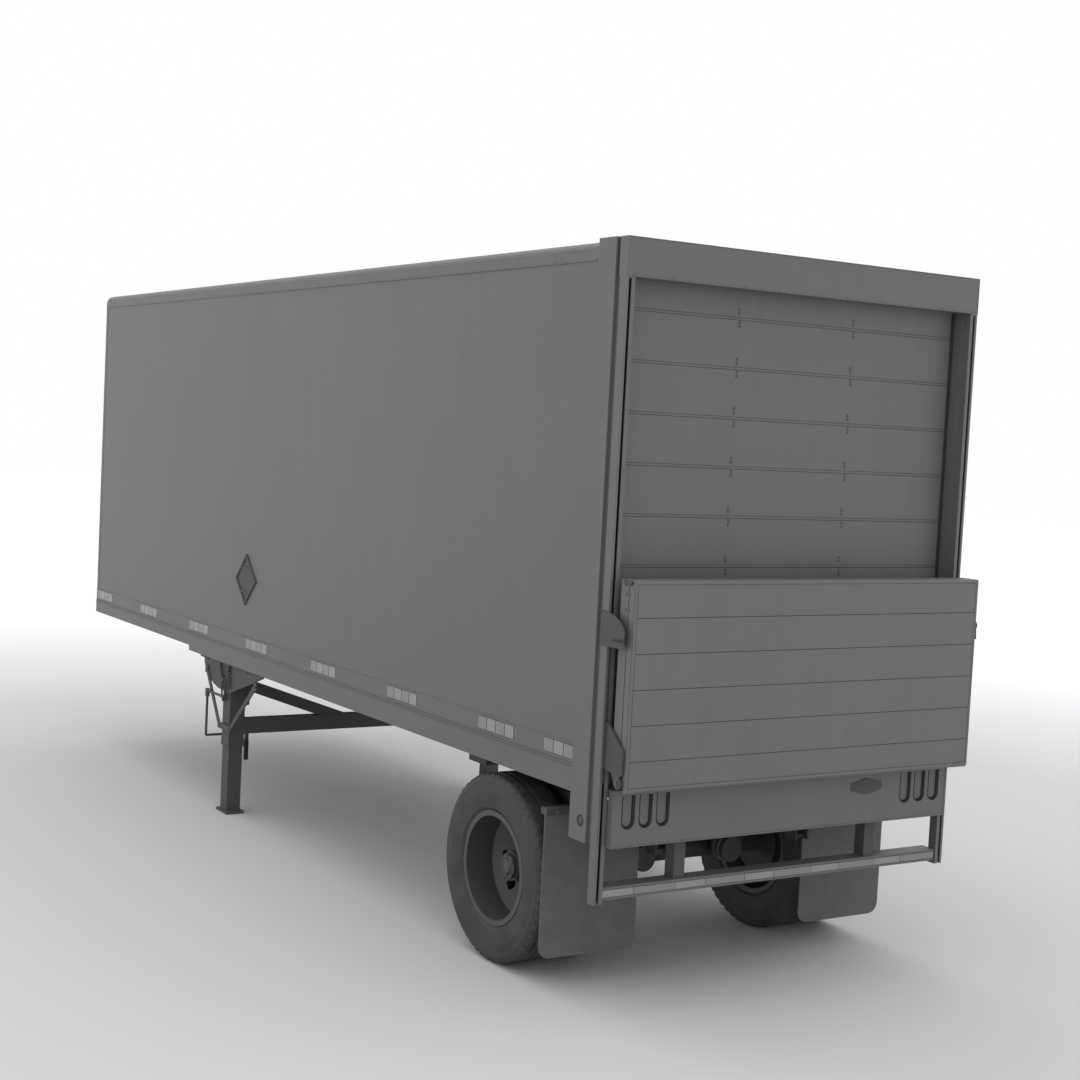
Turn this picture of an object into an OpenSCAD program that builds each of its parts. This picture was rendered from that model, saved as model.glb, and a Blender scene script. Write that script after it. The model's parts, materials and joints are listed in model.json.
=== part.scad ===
// Single-axle van semi-trailer with a roll-up rear door and a folding rail lift platform.
// +X is the trailer's right side, +Y points forward to the king pin, +Z is up.
// The origin is on the ground, midway along and across the trailer.

/* [Body] */
// Width over the rear posts
body_w = 2550; // [2440:10:2600]
// Height of the rear posts above the ground
body_h = 4115; // [3900:5:4300]
// Length from the front wall to the rear face of the header
body_len = 8290; // [6200:10:9900]
// Height of the floor's top face above the ground
deck_z = 1320; // [1290:5:1400]
// Thickness of the side walls, front wall and roof
wall_t = 32; // [20:1:45]
// Thickness of the floor
floor_t = 32; // [25:1:40]
// How far the rear posts stand out past the side walls
post_proud = 11; // [8:1:14]

/* [Rails] */
// Height of the bottom rail's side flange above the floor
rail_lap = 109; // [80:1:140]
// Depth of the bottom rail below the floor, behind the step
rail_drop = 149; // [140:1:180]
// Depth of the bottom rail below the floor, ahead of the step
rail_drop_front = 108; // [100:1:120]
// Distance from the front wall to the step in the bottom rail
step_back = 2370; // [2300:10:2600]
// Thickness of the rail's plates
rail_t = 6; // [4:1:8]
// Depth of the top rail's flat band
top_rail_h = 47; // [35:1:60]
// Height of the rounded cove above the top rail's band
cove_h = 50; // [40:1:60]
// Drop of the roof below the top of the rear posts
roof_drop = 15; // [5:1:30]

/* [Floor frame] */
// Number of cross members under the floor
cross_count = 22; // [14:1:28]
// Width of a cross member's flanges
cross_w = 60; // [50:1:80]
// Thickness of a cross member's web and flanges
cross_t = 6; // [4:1:8]
// Distance from the trailer's middle to a frame rail's middle
frame_x = 520; // [450:10:560]
// Width of a frame rail
frame_w = 80; // [60:1:100]
// Depth of a frame rail
frame_h = 120; // [100:1:150]

/* [Coupling] */
// Thickness of the coupler plate
coupler_t = 10; // [8:1:12]
// Length of the coupler plate
coupler_len = 1250; // [1100:10:1400]
// Width of the coupler plate
coupler_w = 1180; // [1000:10:1200]
// Distance from the front wall to the king pin
pin_back = 760; // [700:10:950]
// Radius of the king pin's neck
pin_neck_r = 25.4; // [25.4:0.1:25.4]
// Radius of the king pin's collars
pin_head_r = 35.7; // [35.7:0.1:35.7]
// How far the king pin hangs below the coupler plate
pin_len = 84; // [84:1:84]

/* [Rear frame] */
// Length of the post's side plate along the trailer
post_len = 162; // [140:1:190]
// Height of the bottom of the post's side plate
post_foot_z = 925; // [880:5:1000]
// Height of the header's face
header_h = 208; // [180:1:240]
// Depth of the header along the trailer
header_d = 74; // [60:1:80]
// Plate thickness of the rear frame
frame_t = 6; // [5:1:8]
// Half-width of the door opening
opening_x = 1205; // [1150:1:1210]

/* [Roll-up door] */
// Distance from the header's rear face to the door's outer face
door_back = 126; // [110:1:140]
// Thickness of a door section
door_t = 19; // [16:1:25]
// Number of door sections
door_count = 10; // [8:1:10]
// Height of one door section
door_pitch = 271.4; // [260:0.2:275]

/* [Lift columns] */
// Width of a lift column across the trailer
column_w = 55; // [52:1:58]
// Depth of a lift column along the trailer
column_d = 60; // [60:1:68]
// Wall thickness of a lift column
column_t = 8; // [6:1:8]
// Width of the slot in the column's rear face
slot_w = 17; // [16:1:18]
// Height of a column's lower end above the ground
column_z = 612; // [560:1:660]
// Clearance of the runner inside its column
runner_gap = 1.5; // [1:0.1:2]
// Length of a runner
runner_len = 900; // [850:10:1000]
// Thickness of the hinge plate on a runner
arm_t = 11; // [8:1:12]

/* [Platform] */
// Width of the lift platform
plat_w = 2466; // [2300:2:2466]
// Distance from the header's rear face back to the folded platform's outer face
pack_out = 183; // [183:1:200]
// Thickness of the outer, folding section
flip_t = 55; // [50:1:58]
// Thickness of the main section
main_t = 68; // [64:1:68]
// Gap between the two folded sections
fold_gap = 6; // [6:0.5:8]
// Height of the folded platform's top edge
plat_top = 2348; // [2200:1:2400]
// Height of the folded platform's bottom edge
plat_bot = 1237; // [1230:1:1260]
// Radius of the platform's hinge pins
hinge_r = 12; // [10:0.5:14]
// Depth of the link pins below the platform's top edge
link_drop = 14; // [12:1:16]

/* [Running gear] */
// Distance from the header's rear face to the axle
axle_y = 1087; // [1000:10:1400]
// Radius of a tyre
tyre_r = 550; // [520:1:560]
// Width of a tyre
tyre_w = 278; // [250:2:290]
// Radius of a rim's flange
rim_r = 333; // [300:1:340]
// Distance from the trailer's middle to the outer tyre's outer face
tyre_out = 1260; // [1230:1:1265]
// Distance between the middles of twin tyres
dual_pitch = 330; // [320:1:345]
// Radius of the axle beam
axle_r = 64; // [55:1:70]
// Radius of the spindle inside the hub
spindle_r = 45; // [40:1:50]
// Running clearance of the spindle in the hub
spindle_gap = 0.05; // [0.02:0.01:0.1]
// Half-length of a leaf spring
spring_half = 620; // [560:5:660]
// Width of a leaf spring
spring_w = 76; // [60:1:80]

/* [Landing gear] */
// Distance from the header's rear face to the landing legs
leg_y = 5173; // [4000:10:5400]
// Distance from the trailer's middle to a leg's middle
leg_x = 1170; // [1100:5:1180]
// Width of a leg across the trailer
leg_w = 125; // [110:1:130]
// Width of a leg along the trailer
leg_d = 140; // [120:1:150]
// Height of the leg's collar above the ground
collar_z = 520; // [450:5:600]
// Width of a foot across the trailer
foot_w = 146; // [140:1:180]
// Length of a foot along the trailer
foot_d = 212; // [180:1:260]

/* [Under-ride guard] */
// Height of the guard bar's lower edge
guard_z = 632; // [600:1:640]
// Height of the guard bar
guard_h = 68; // [60:1:100]
// Depth of the guard bar
guard_d = 100; // [80:1:110]
// Distance from the trailer's middle to a guard post's middle
guard_post_x = 692; // [600:1:760]

/* [Apron] */
// Half-width of the rear apron
apron_x = 1211; // [1100:1:1211]
// How far the apron stands behind the lift columns
apron_out = 48; // [30:1:48]
// Height of the apron's lower edge
apron_z = 920; // [900:1:960]

/* [Hidden] */

// Frame: rear_y is the header's rear face, front_y the front wall's face
service_out = 60;
rear_y = -(body_len + service_out - pack_out) / 2;
front_y = rear_y + body_len;
half_w = body_w / 2;
wall_x = half_w - post_proud;
wall_in = wall_x - wall_t;

// Levels
roof_z = body_h - roof_drop;
band_z = roof_z - cove_h;
top_rail_z = band_z - top_rail_h;
under_floor = deck_z - floor_t;
rail_z = deck_z - rail_drop;
rail_front_z = deck_z - rail_drop_front;
rail_seat = rail_z + rail_t;
rail_seat_front = rail_front_z + rail_t;
rail_x = half_w - frame_t;
step_y = front_y - step_back;
header_z = body_h - header_h;

// Rear frame
post_back = 36;
post_y = rear_y + column_d + post_back;
post_box_y = rear_y + column_d;
post_box_d = 70;
body_y = post_box_y + post_box_d;
threshold_w = rear_y + door_back + door_t + 0.5 - body_y;
post_box_x = half_w - 20;
roof_y = body_y + 40;
roof_in = wall_in - 30;

// Lift and platform
column_out = half_w - 8;
column_in = column_out - column_w;
pack_y = rear_y - pack_out;
flip_y = pack_y + flip_t;
main_y = flip_y + fold_gap;
main_face = main_y + main_t;
hinge_y = flip_y;
hinge_z = plat_bot + 53;
tail_r = 68;
chamfer = 8;
link_z = plat_top - link_drop;
main_pin_y = main_face - 40;
flip_pin_y = pack_y + 40;
link_r = 8;
pin_gap = 0.05;
plat_x = plat_w / 2;
arm_x = plat_x + 5;
slot_x0 = arm_x + (arm_t - slot_w) / 2;
slot_x1 = slot_x0 + slot_w;
runner_x0 = column_in + column_t + runner_gap;
runner_x1 = column_out - column_t - runner_gap;
runner_y0 = rear_y + column_t + runner_gap;
runner_y1 = rear_y + column_d - column_t - runner_gap;
runner_z = hinge_z - 30;
plank_count = 6;
groove = 4;

// Running gear
hub_y = rear_y + axle_y;
hub_z = tyre_r;
outer_x = tyre_out - tyre_w / 2;
inner_x = outer_x - dual_pitch;
dual_x = (outer_x + inner_x) / 2;
bead_r = rim_r - 22;
rim_half = 108;
disc_t = 12;
hub_r = 112;
drum_r = 210;
spring_x = frame_x - spring_w / 2;
spring_t = 46;
spring_z = hub_z + axle_r + 46;
spring_rise = 120;
flap_y = rear_y + 515;
flap_t = 8;
flap_x0 = 612;
flap_top = 1025;
flap_bot = 173;

// Landing gear
leg_yc = rear_y + leg_y;
collar_h = 63;
leg_wall = 6;
leg_gap = 0.5;
foot_t = 20;
beam_z = 620;
beam_h = 122;
shaft_z = 905;
lamp_r = 32;

// The side named by s is -1 on the left and 1 on the right
module sided(s) { mirror([s < 0 ? 1 : 0, 0, 0]) children(); }
module both() { for (s = [-1, 1]) sided(s) children(); }
module slab(x0, x1, y0, y1, z0, z1) { translate([x0, y0, z0]) cube([x1 - x0, y1 - y0, z1 - z0]); }
// A round bar across the trailer
module across(r, x0, x1, y, z) {
    translate([x0, y, z]) rotate([0, 90, 0]) cylinder(r = r, h = x1 - x0, $fn = 48);
}
// A round bar along the trailer
module along(r, x, y0, y1, z) {
    translate([x, y0, z]) rotate([-90, 0, 0]) cylinder(r = r, h = y1 - y0, $fn = 48);
}
// A plate from x0 to x1 with its outline in (y, z)
module plate_yz(x0, x1, points) {
    translate([x0, 0, 0]) rotate([90, 0, 90]) linear_extrude(x1 - x0) polygon(points);
}
// A straight section along the trailer from y0 to y1, with its outline in (x, z)
module section_xz(y0, y1, points) {
    translate([0, y1, 0]) rotate([90, 0, 0]) linear_extrude(y1 - y0) polygon(points);
}
// A flat bar between two points
module flat_bar(a, b, w, t) {
    d = b - a;
    translate(a) rotate([0, acos(d[2] / norm(d)), atan2(d[1], d[0])])
        translate([-w / 2, -t / 2, 0]) cube([w, t, norm(d)]);
}
function arc(cy, cz, r, a0, a1, n = 6) =
    [for (i = [0 : n]) let (a = a0 + (a1 - a0) * i / n) [cy + r * cos(a), cz + r * sin(a)]];

// ---- Floor and frame

module floor() {
    color("#5f5a52")
        slab(-wall_in, wall_in, body_y + threshold_w, front_y - wall_t, under_floor, deck_z);
}

module cross_member(y, seat) {
    x = rail_x - rail_t;
    slab(-x, x, y - cross_w / 2, y + cross_w / 2, under_floor - cross_t, under_floor);
    slab(-x, x, y - cross_t / 2, y + cross_t / 2, seat, under_floor);
    slab(-x, x, y - cross_w / 2, y + cross_w / 2, seat, seat + cross_t);
}

function cross_y(i) = body_y + 120 + i * (body_len - 370) / (cross_count - 1);

module cross_members() {
    color("#4b4b4b") for (i = [0 : cross_count - 1])
        cross_member(cross_y(i), cross_y(i) > step_y - cross_w ? rail_seat_front : rail_seat);
}

module subframe() {
    front = hub_y + 1480;
    color("#4b4b4b") both() {
        slab(frame_x - frame_w / 2, frame_x + frame_w / 2, body_y, front, rail_seat - frame_h, rail_seat);
        slab(frame_x - frame_w / 2, frame_x + frame_w / 2, front - 225, front,
             rail_seat - 310, rail_seat - frame_h);
    }
}

// The side flange laps the wall, the shelf carries it and the bottom flange carries the cross members
module bottom_rail(s) {
    y1 = front_y;
    color("#6b6b6b") sided(s) {
        slab(wall_x, rail_x - 2, body_y, y1, deck_z - rail_t, deck_z + rail_lap);
        slab(wall_in, rail_x, body_y, y1, deck_z - rail_t, deck_z);
        slab(rail_x - rail_t, rail_x, body_y, step_y, rail_z, deck_z);
        slab(rail_x - cross_w, rail_x, body_y, step_y, rail_z, rail_seat);
        slab(rail_x - rail_t, rail_x, step_y, y1, rail_front_z, deck_z);
        slab(rail_x - cross_w, rail_x, step_y, y1, rail_front_z, rail_seat_front);
        slab(rail_x - cross_w, rail_x, step_y - rail_t, step_y, rail_z, rail_seat_front);
    }
}

module side_wall(s) {
    color("#6b6b6b") sided(s) slab(wall_in, wall_x, body_y, front_y - wall_t, deck_z, band_z);
}

module front_wall() {
    color("#6b6b6b") {
        slab(-wall_x, wall_x, front_y - wall_t, front_y, deck_z, band_z);
        slab(-roof_in, roof_in, front_y - wall_t, front_y, band_z, roof_z);
        slab(rail_t - rail_x, rail_x - rail_t, front_y - wall_t, front_y, rail_seat_front,
             deck_z - rail_t);
        slab(-wall_in, wall_in, front_y - wall_t, front_y, deck_z - rail_t, deck_z);
    }
}

module roof() {
    color("#747474") slab(-roof_in, roof_in, roof_y, front_y - wall_t, roof_z - wall_t, roof_z);
}

// A band that laps the wall, with a rounded cove above it
module top_rail(s) {
    r = cove_h - 4;
    cx = wall_x - r;
    color("#6b6b6b") sided(s) {
        section_xz(roof_y, front_y, concat(
            [[roof_in, band_z], [wall_x, band_z]],
            [for (a = [0 : 7.5 : 90]) [cx + (r - 3) * cos(a), band_z + 4 + r * sin(a)]],
            [[roof_in, roof_z]]));
        slab(wall_x, wall_x + 3, body_y, front_y, top_rail_z, band_z);
        slab(wall_in + 2, wall_x + 3, roof_y, front_y, band_z, band_z + 3);
    }
}

// ---- Coupling

module coupler_plate() {
    y = front_y - pin_back;
    color("#4b4b4b") difference() {
        slab(-coupler_w / 2, coupler_w / 2, y - coupler_len / 2, y + coupler_len / 2,
             rail_seat_front - coupler_t, rail_seat_front);
        translate([0, y, rail_seat_front - coupler_t - 1])
            cylinder(r = pin_head_r + 1, h = coupler_t + 2, $fn = 64);
    }
}

module king_pin() {
    top = rail_seat_front;
    face = top - coupler_t;
    neck = [pin_len - 14, pin_len - 49];
    color("#8a8a8a") translate([0, front_y - pin_back, 0]) rotate_extrude($fn = 64) polygon([
        [0, top], [pin_head_r + 0.6, top], [pin_head_r + 0.6, face - neck[1]],
        [pin_neck_r, face - neck[1]], [pin_neck_r, face - neck[0]],
        [pin_head_r, face - neck[0]], [pin_head_r, face - pin_len], [0, face - pin_len]]);
}

// ---- Rear frame

module rear_post(s) {
    color("#6b6b6b") sided(s) {
        difference() {
            slab(opening_x, post_box_x, post_box_y, body_y, post_foot_z, header_z);
            slab(opening_x + frame_t, post_box_x - frame_t, post_box_y + frame_t, body_y - frame_t,
                 post_foot_z - 1, header_z + 1);
        }
        slab(post_box_x, half_w, post_y, post_y + frame_t, post_foot_z, body_h);
        difference() {
            slab(half_w - frame_t, half_w, post_y, post_y + post_len, post_foot_z, body_h);
            across(lamp_r, half_w - 4, half_w + 1, rear_y + 152, post_foot_z + 111);
        }
    }
}

// A channel whose rear face closes the top of the doorway, with the roof beam behind it
module rear_header() {
    x = column_out;
    beam_x = half_w - frame_t;
    color("#6b6b6b") {
        difference() {
            slab(-x, x, rear_y, rear_y + header_d, header_z, body_h);
            slab(frame_t - x, x - frame_t, rear_y + frame_t, rear_y + header_d + 1,
                 header_z + frame_t, body_h - frame_t);
        }
        slab(-post_box_x, post_box_x, rear_y + header_d, post_y, body_h - frame_t, body_h);
        slab(-beam_x, beam_x, post_y + frame_t, roof_y, body_h - frame_t, body_h);
        slab(-post_box_x, post_box_x, post_y, post_y + frame_t, body_h - frame_t, body_h);
        slab(-beam_x, beam_x, body_y, roof_y, band_z, body_h - frame_t);
    }
}

module rear_sill() {
    color("#4b4b4b") {
        difference() {
            slab(-opening_x, opening_x, post_box_y, body_y, rail_z, deck_z);
            slab(-opening_x - 1, opening_x + 1, post_box_y + frame_t, body_y - frame_t,
                 rail_z + frame_t, deck_z - frame_t);
        }
        slab(-opening_x, opening_x, body_y - 1, body_y + 1, under_floor, deck_z);
        slab(-wall_in, wall_in, body_y, body_y + threshold_w, under_floor, deck_z);
    }
}

// An upright slot from z to the top, round at its lower end
module slot_xz(r, x, y0, y1, z, top) {
    along(r, x, y0, y1, z);
    slab(x - r, x + r, y0, y1, z, top);
}

// A folded plate with three stamped recesses at each side
module rear_apron() {
    y0 = rear_y - apron_out;
    y1 = y0 + apron_out - 6;
    top = plat_bot - 8;
    r = 43;
    depth = 16;
    recess_t = 3;
    recess_z = [1060, 1200];
    color("#6b6b6b") {
        difference() {
            union() {
                slab(-apron_x, apron_x, y0, y0 + frame_t, apron_z, top);
                slab(-apron_x, apron_x, y0, post_box_y, top - frame_t, top);
                slab(-apron_x, apron_x, y0, y1, apron_z, apron_z + frame_t);
                both() {
                    slab(apron_x - frame_t, apron_x, y0, y1, apron_z, top);
                    for (i = [0 : 2])
                        slot_xz(r + recess_t, apron_x - 103 - i * 113, y0 + 1, y0 + depth,
                                recess_z[0], recess_z[1] + recess_t);
                }
            }
            both() for (i = [0 : 2])
                slot_xz(r, apron_x - 103 - i * 113, y0 - 1, y0 + depth - recess_t, recess_z[0], recess_z[1]);
        }
    }
}

module rear_door() {
    y = rear_y + door_back;
    gap = 0.5;
    color("#5e5e5e") for (i = [0 : door_count - 1]) {
        z = deck_z + gap + i * door_pitch;
        slab(0.3 - opening_x, opening_x - 0.3, y, y + door_t, z, z + door_pitch - gap);
    }
}

// ---- Lift columns, runners and latches

module lift_column(s) {
    color("#6b6b6b") sided(s) difference() {
        slab(column_in, column_out, rear_y, rear_y + column_d, column_z, header_z);
        slab(column_in + column_t, column_out - column_t, rear_y + column_t,
             rear_y + column_d - column_t, column_z - 1, header_z - column_t);
        slab(slot_x0, slot_x1, rear_y - 1, rear_y + column_t + 1, column_z - 1, header_z - column_t);
    }
}

module lift_runner(s) {
    color("#4b4b4b") sided(s) {
        slab(runner_x0, runner_x1, runner_y0, runner_y1, runner_z, runner_z + runner_len);
        plate_yz(arm_x, arm_x + arm_t, [
            [runner_y0 + 2, hinge_z + 303], [rear_y - 14, hinge_z + 303], [rear_y - 168, hinge_z + 174],
            [rear_y - 165, hinge_z + 46], [hinge_y + 32, hinge_z], [hinge_y + 60, hinge_z + 46],
            [runner_y0 + 2, hinge_z + 50]]);
        across(33, arm_x, arm_x + arm_t, hinge_y, hinge_z);
        across(hinge_r, plat_x - 50, arm_x + arm_t, hinge_y, hinge_z);
        across(hinge_r + 4, arm_x + 1, arm_x + arm_t + 3, hinge_y, hinge_z);
    }
}

module latch_plate(s) {
    x = column_out;
    z0 = 1990;
    sided(s) {
        difference() {
            plate_yz(x, x + frame_t, concat(
                [[rear_y + column_d, z0 - 4], [rear_y - 156, z0 + 2], [rear_y - 152, z0 + 60]],
                [for (a = [12 : 13 : 90]) [rear_y + column_d - 20 - 204 * cos(a), z0 + 60 + 122 * sin(a)]],
                [[rear_y + column_d, z0 + 184]]));
            slab(x - 1, x + frame_t + 1, rear_y - 128, rear_y - 52, z0 + 34, z0 + 50);
        }
        along(6, x + 1, rear_y - 132, rear_y - 48, z0 + 42);
    }
}

module platform_latches() { color("#5a5a5a") for (s = [-1, 1]) latch_plate(s); }

// ---- Platform

// Pockets in a section's underside leave its ribs and deck
module pockets(y0, y1, z0, z1) {
    columns = 6;
    rib = 14;
    span = (plat_w - 90) / columns;
    for (i = [0 : columns - 1]) {
        x = -plat_w / 2 + 45 + i * span;
        slab(x + rib / 2, x + span - rib / 2, y0, y1, z0, z1);
    }
}

module plank_grooves(y0, y1) {
    pitch = (plat_top - plat_bot) / plank_count + 2;
    for (i = [1 : plank_count - 1]) {
        z = plat_top - 6 - i * pitch;
        slab(18 - plat_x, plat_x - 18, y0, y1, z - groove / 2, z + groove / 2);
    }
}

module platform_main() {
    deck = 24;
    low = hinge_z - 22;
    color("#666666") difference() {
        plate_yz(-plat_x, plat_x, [
            [main_y, plat_top - chamfer], [main_y + chamfer, plat_top],
            [main_face - chamfer, plat_top], [main_face, plat_top - chamfer],
            [main_face, hinge_z + 40], [hinge_y + 34, low], [main_y, low]]);
        both() across(hinge_r + pin_gap, plat_x - 51, plat_x + 1, hinge_y, hinge_z);
        both() across(link_r + pin_gap, plat_x - 41, plat_x + 1, main_pin_y, link_z);
        pockets(main_y - 1, main_face - deck, hinge_z + 60, plat_top - 60);
        plank_grooves(main_face - 3, main_face + 1);
    }
}

// The main section's hinge lug at each end
module platform_lugs() {
    r = 22;
    a = acos((main_y - hinge_y) / r);
    color("#666666") both() difference() {
        plate_yz(plat_x - 25, plat_x, arc(hinge_y, hinge_z, r, a, 360 - a, 16));
        across(hinge_r + pin_gap, plat_x - 26, plat_x + 1, hinge_y, hinge_z);
    }
}

module platform_flip() {
    deck = 20;
    color("#6b6b6b") difference() {
        plate_yz(-plat_x, plat_x, concat(
            [[pack_y, plat_top - chamfer], [pack_y + chamfer, plat_top],
             [flip_y - chamfer, plat_top], [flip_y, plat_top - chamfer],
             [flip_y, plat_bot + 163], [pack_y + 14, plat_bot + 2]],
            arc(hinge_y, hinge_z, tail_r - 0.4, 231, 216, 3)));
        both() across(link_r + pin_gap, plat_x - 41, plat_x + 1, flip_pin_y, link_z);
        pockets(pack_y + deck, flip_y + 1, plat_bot + 190, plat_top - 60);
        plank_grooves(pack_y - 1, pack_y + 3);
    }
}

// A dog-bone plate at each end, with a pin into each section
module platform_links() {
    x = plat_x + 3;
    color("#4b4b4b") both() {
        plate_yz(x, x + 8, [[flip_pin_y, link_z - 8], [main_pin_y, link_z - 8],
                            [main_pin_y, link_z + 8], [flip_pin_y, link_z + 8]]);
        for (y = [main_pin_y, flip_pin_y]) {
            across(link_drop - 1, x, x + 8, y, link_z);
            across(link_r, plat_x - 40, x + 10, y, link_z);
        }
    }
}

// ---- Under-ride guard

module bumper_bar() {
    t = 6;
    y0 = rear_y + 10;
    color("#6b6b6b") difference() {
        slab(-column_in, column_in, y0, y0 + guard_d, guard_z, guard_z + guard_h);
        slab(-column_in - 1, column_in + 1, y0 + t, y0 + guard_d - t, guard_z + t, guard_z + guard_h - t);
    }
}

module bumper_posts() {
    t = 6;
    w = 74;
    y0 = rear_y + 30;
    color("#5a5a5a") both() difference() {
        slab(guard_post_x - w / 2, guard_post_x + w / 2, y0, y0 + 80, guard_z + guard_h, rail_z);
        slab(guard_post_x - w / 2 + t, guard_post_x + w / 2 - t, y0 + t, y0 + 81,
             guard_z + guard_h - 1, rail_z + 1);
    }
}

// ---- Landing gear

module landing_leg(s) {
    w = leg_w / 2;
    d = leg_d / 2;
    in = leg_wall + leg_gap;
    color("#5a5a5a") sided(s) translate([leg_x, leg_yc, 0]) {
        difference() {
            union() {
                slab(-w, w, -d, d, collar_z + collar_h, rail_z);
                slab(-w - 3, w + 3, -d - 3, d + 3, collar_z, collar_z + collar_h);
            }
            slab(leg_wall - w, w - leg_wall, leg_wall - d, d - leg_wall, collar_z - 1, rail_z - leg_wall);
        }
        slab(in - w, w - in, in - d, d - in, foot_t, collar_z + 260);
        slab(-foot_w / 2, foot_w / 2, -foot_d / 2, foot_d / 2, 0, foot_t);
    }
}

// A gusset on each leg's outer face, and two braces down to a lug above the collar
module leg_side_braces() {
    w = leg_w / 2;
    d = leg_d / 2;
    gusset_t = 6;
    brace_t = 10;
    gusset = [-700, 560];
    gusset_z = 943;
    lug_y = 125;
    lug_z = [645, 690];
    lip = 24;
    color("#5a5a5a") both() translate([leg_x, leg_yc, 0]) {
        plate_yz(w, w + gusset_t, concat(
            [[gusset[0], rail_z], [gusset[0], rail_z - lip], [-d, gusset_z], [d, gusset_z]],
            [for (a = [0 : 15 : 90]) [d + (gusset[1] - d) * sin(a) * 0.8 + 20 * (1 - cos(a)),
                                      gusset_z + (rail_z - lip - gusset_z) * (1 - cos(a))]],
            [[gusset[1], rail_z - lip], [gusset[1], rail_z]]));
        for (m = [-1, 1]) {
            y = m * (d + (m < 0 ? 500 : 330));
            flat_bar([w + gusset_t + 4, m * (lug_y - 20), lug_z[1] - 24],
                     [w + gusset_t + 4, y, 1070], 38, brace_t);
            slab(w + 1, w + gusset_t + brace_t, y - 26, y + 26, 1038, 1098);
        }
        slab(w, w + gusset_t + brace_t, -lug_y, lug_y, lug_z[0], lug_z[1]);
    }
}

module leg_cross_brace() {
    x = leg_x - leg_w / 2;
    t = 6;
    y0 = leg_yc - leg_d / 2;
    color("#5a5a5a") {
        difference() {
            slab(-x, x, y0, y0 + 60, beam_z, beam_z + beam_h);
            slab(-x - 1, x + 1, y0 + t, y0 + 61, beam_z + t, beam_z + beam_h - t);
        }
        both() intersection() {
            flat_bar([220, y0 + 30, beam_z + beam_h - 49], [x + 40, y0 + 30, 1023], 86, 50);
            slab(0, x, y0, y0 + 60, beam_z, rail_z);
        }
    }
}

// The cross shaft joins both gears, and the crank hangs ahead of the left leg
module leg_crank() {
    x = leg_x - leg_w / 2;
    out = leg_x + leg_w / 2;
    rod_y = leg_yc + 330;
    rod_x = 1261;
    grip_x = 915;
    color("#4b4b4b") {
        across(14, -x, x, leg_yc, shaft_z + 155);
        across(17, -rod_x - 11, -out, leg_yc, shaft_z);
        along(10, -rod_x, leg_yc, rod_y, shaft_z);
        slab(-rod_x - 11, -rod_x + 11, rod_y - 20, rod_y + 20, shaft_z - 46, shaft_z + 16);
        translate([-rod_x, rod_y, 548]) cylinder(r = 10, h = shaft_z - 548, $fn = 32);
        across(10, -rod_x, -grip_x, rod_y, 548);
        translate([-grip_x, rod_y, 330]) cylinder(r = 17, h = 218, $fn = 32);
    }
}

// ---- Suspension and axle

module spring_hangers() {
    top = rail_seat - frame_h;
    eye = spring_z + spring_rise;
    t = 12;
    color("#4b4b4b") both() for (m = [-1, 1]) {
        y = hub_y + m * spring_half;
        difference() {
            slab(spring_x - t, spring_x + spring_w + t, y - 50, y + 50, eye - 60, top);
            slab(spring_x - 0.5, spring_x + spring_w + 0.5, y - 51, y + 51, eye - 61, eye + 70);
        }
        across(14, spring_x - t, spring_x + spring_w + t, y, eye - 42);
    }
}

module leaf_springs() {
    n = 12;
    rise = function (u) spring_rise * u * u;
    color("#3f3f3f") both() {
        plate_yz(spring_x, spring_x + spring_w, concat(
            [for (i = [-n : n]) [hub_y + spring_half * 0.98 * i / n, spring_z + rise(i / n)]],
            [for (i = [n : -1 : -n]) [hub_y + spring_half * 0.98 * i / n,
                                      spring_z + rise(i / n) + 14 + (spring_t - 14) * (1 - abs(i / n))]]));
        difference() {
            slab(spring_x - 10, spring_x + spring_w + 10, hub_y - 76, hub_y + 76, hub_z + 6, spring_z + 2);
            across(axle_r + 0.3, spring_x - 11, spring_x + spring_w + 11, hub_y, hub_z);
        }
        slab(spring_x - 10, spring_x + spring_w + 10, hub_y - 60, hub_y + 60, spring_z + spring_t,
             spring_z + spring_t + 16);
    }
}

module axle() {
    plate_x = inner_x - 62;
    color("#3f3f3f") {
        across(axle_r, -plate_x, plate_x, hub_y, hub_z);
        both() across(drum_r - 12, plate_x - 8, plate_x, hub_y, hub_z);
        both() across(spindle_r, plate_x - 1, outer_x - 50, hub_y, hub_z);
    }
}

module brake_chambers() {
    x = 330;
    z = hub_z + 30;
    color("#444444") both() {
        along(78, x, hub_y - 250, hub_y - 130, z);
        along(14, x, hub_y - 130, hub_y - axle_r - 3, z);
        slab(x - 40, x + 40, hub_y - 130, hub_y - 118, z - 90, z + 60);
        difference() {
            slab(x - 40, x + 40, hub_y - 130, hub_y - 30, z - 50, z - 36);
            across(axle_r + 0.3, x - 41, x + 41, hub_y, hub_z);
        }
    }
}

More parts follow.
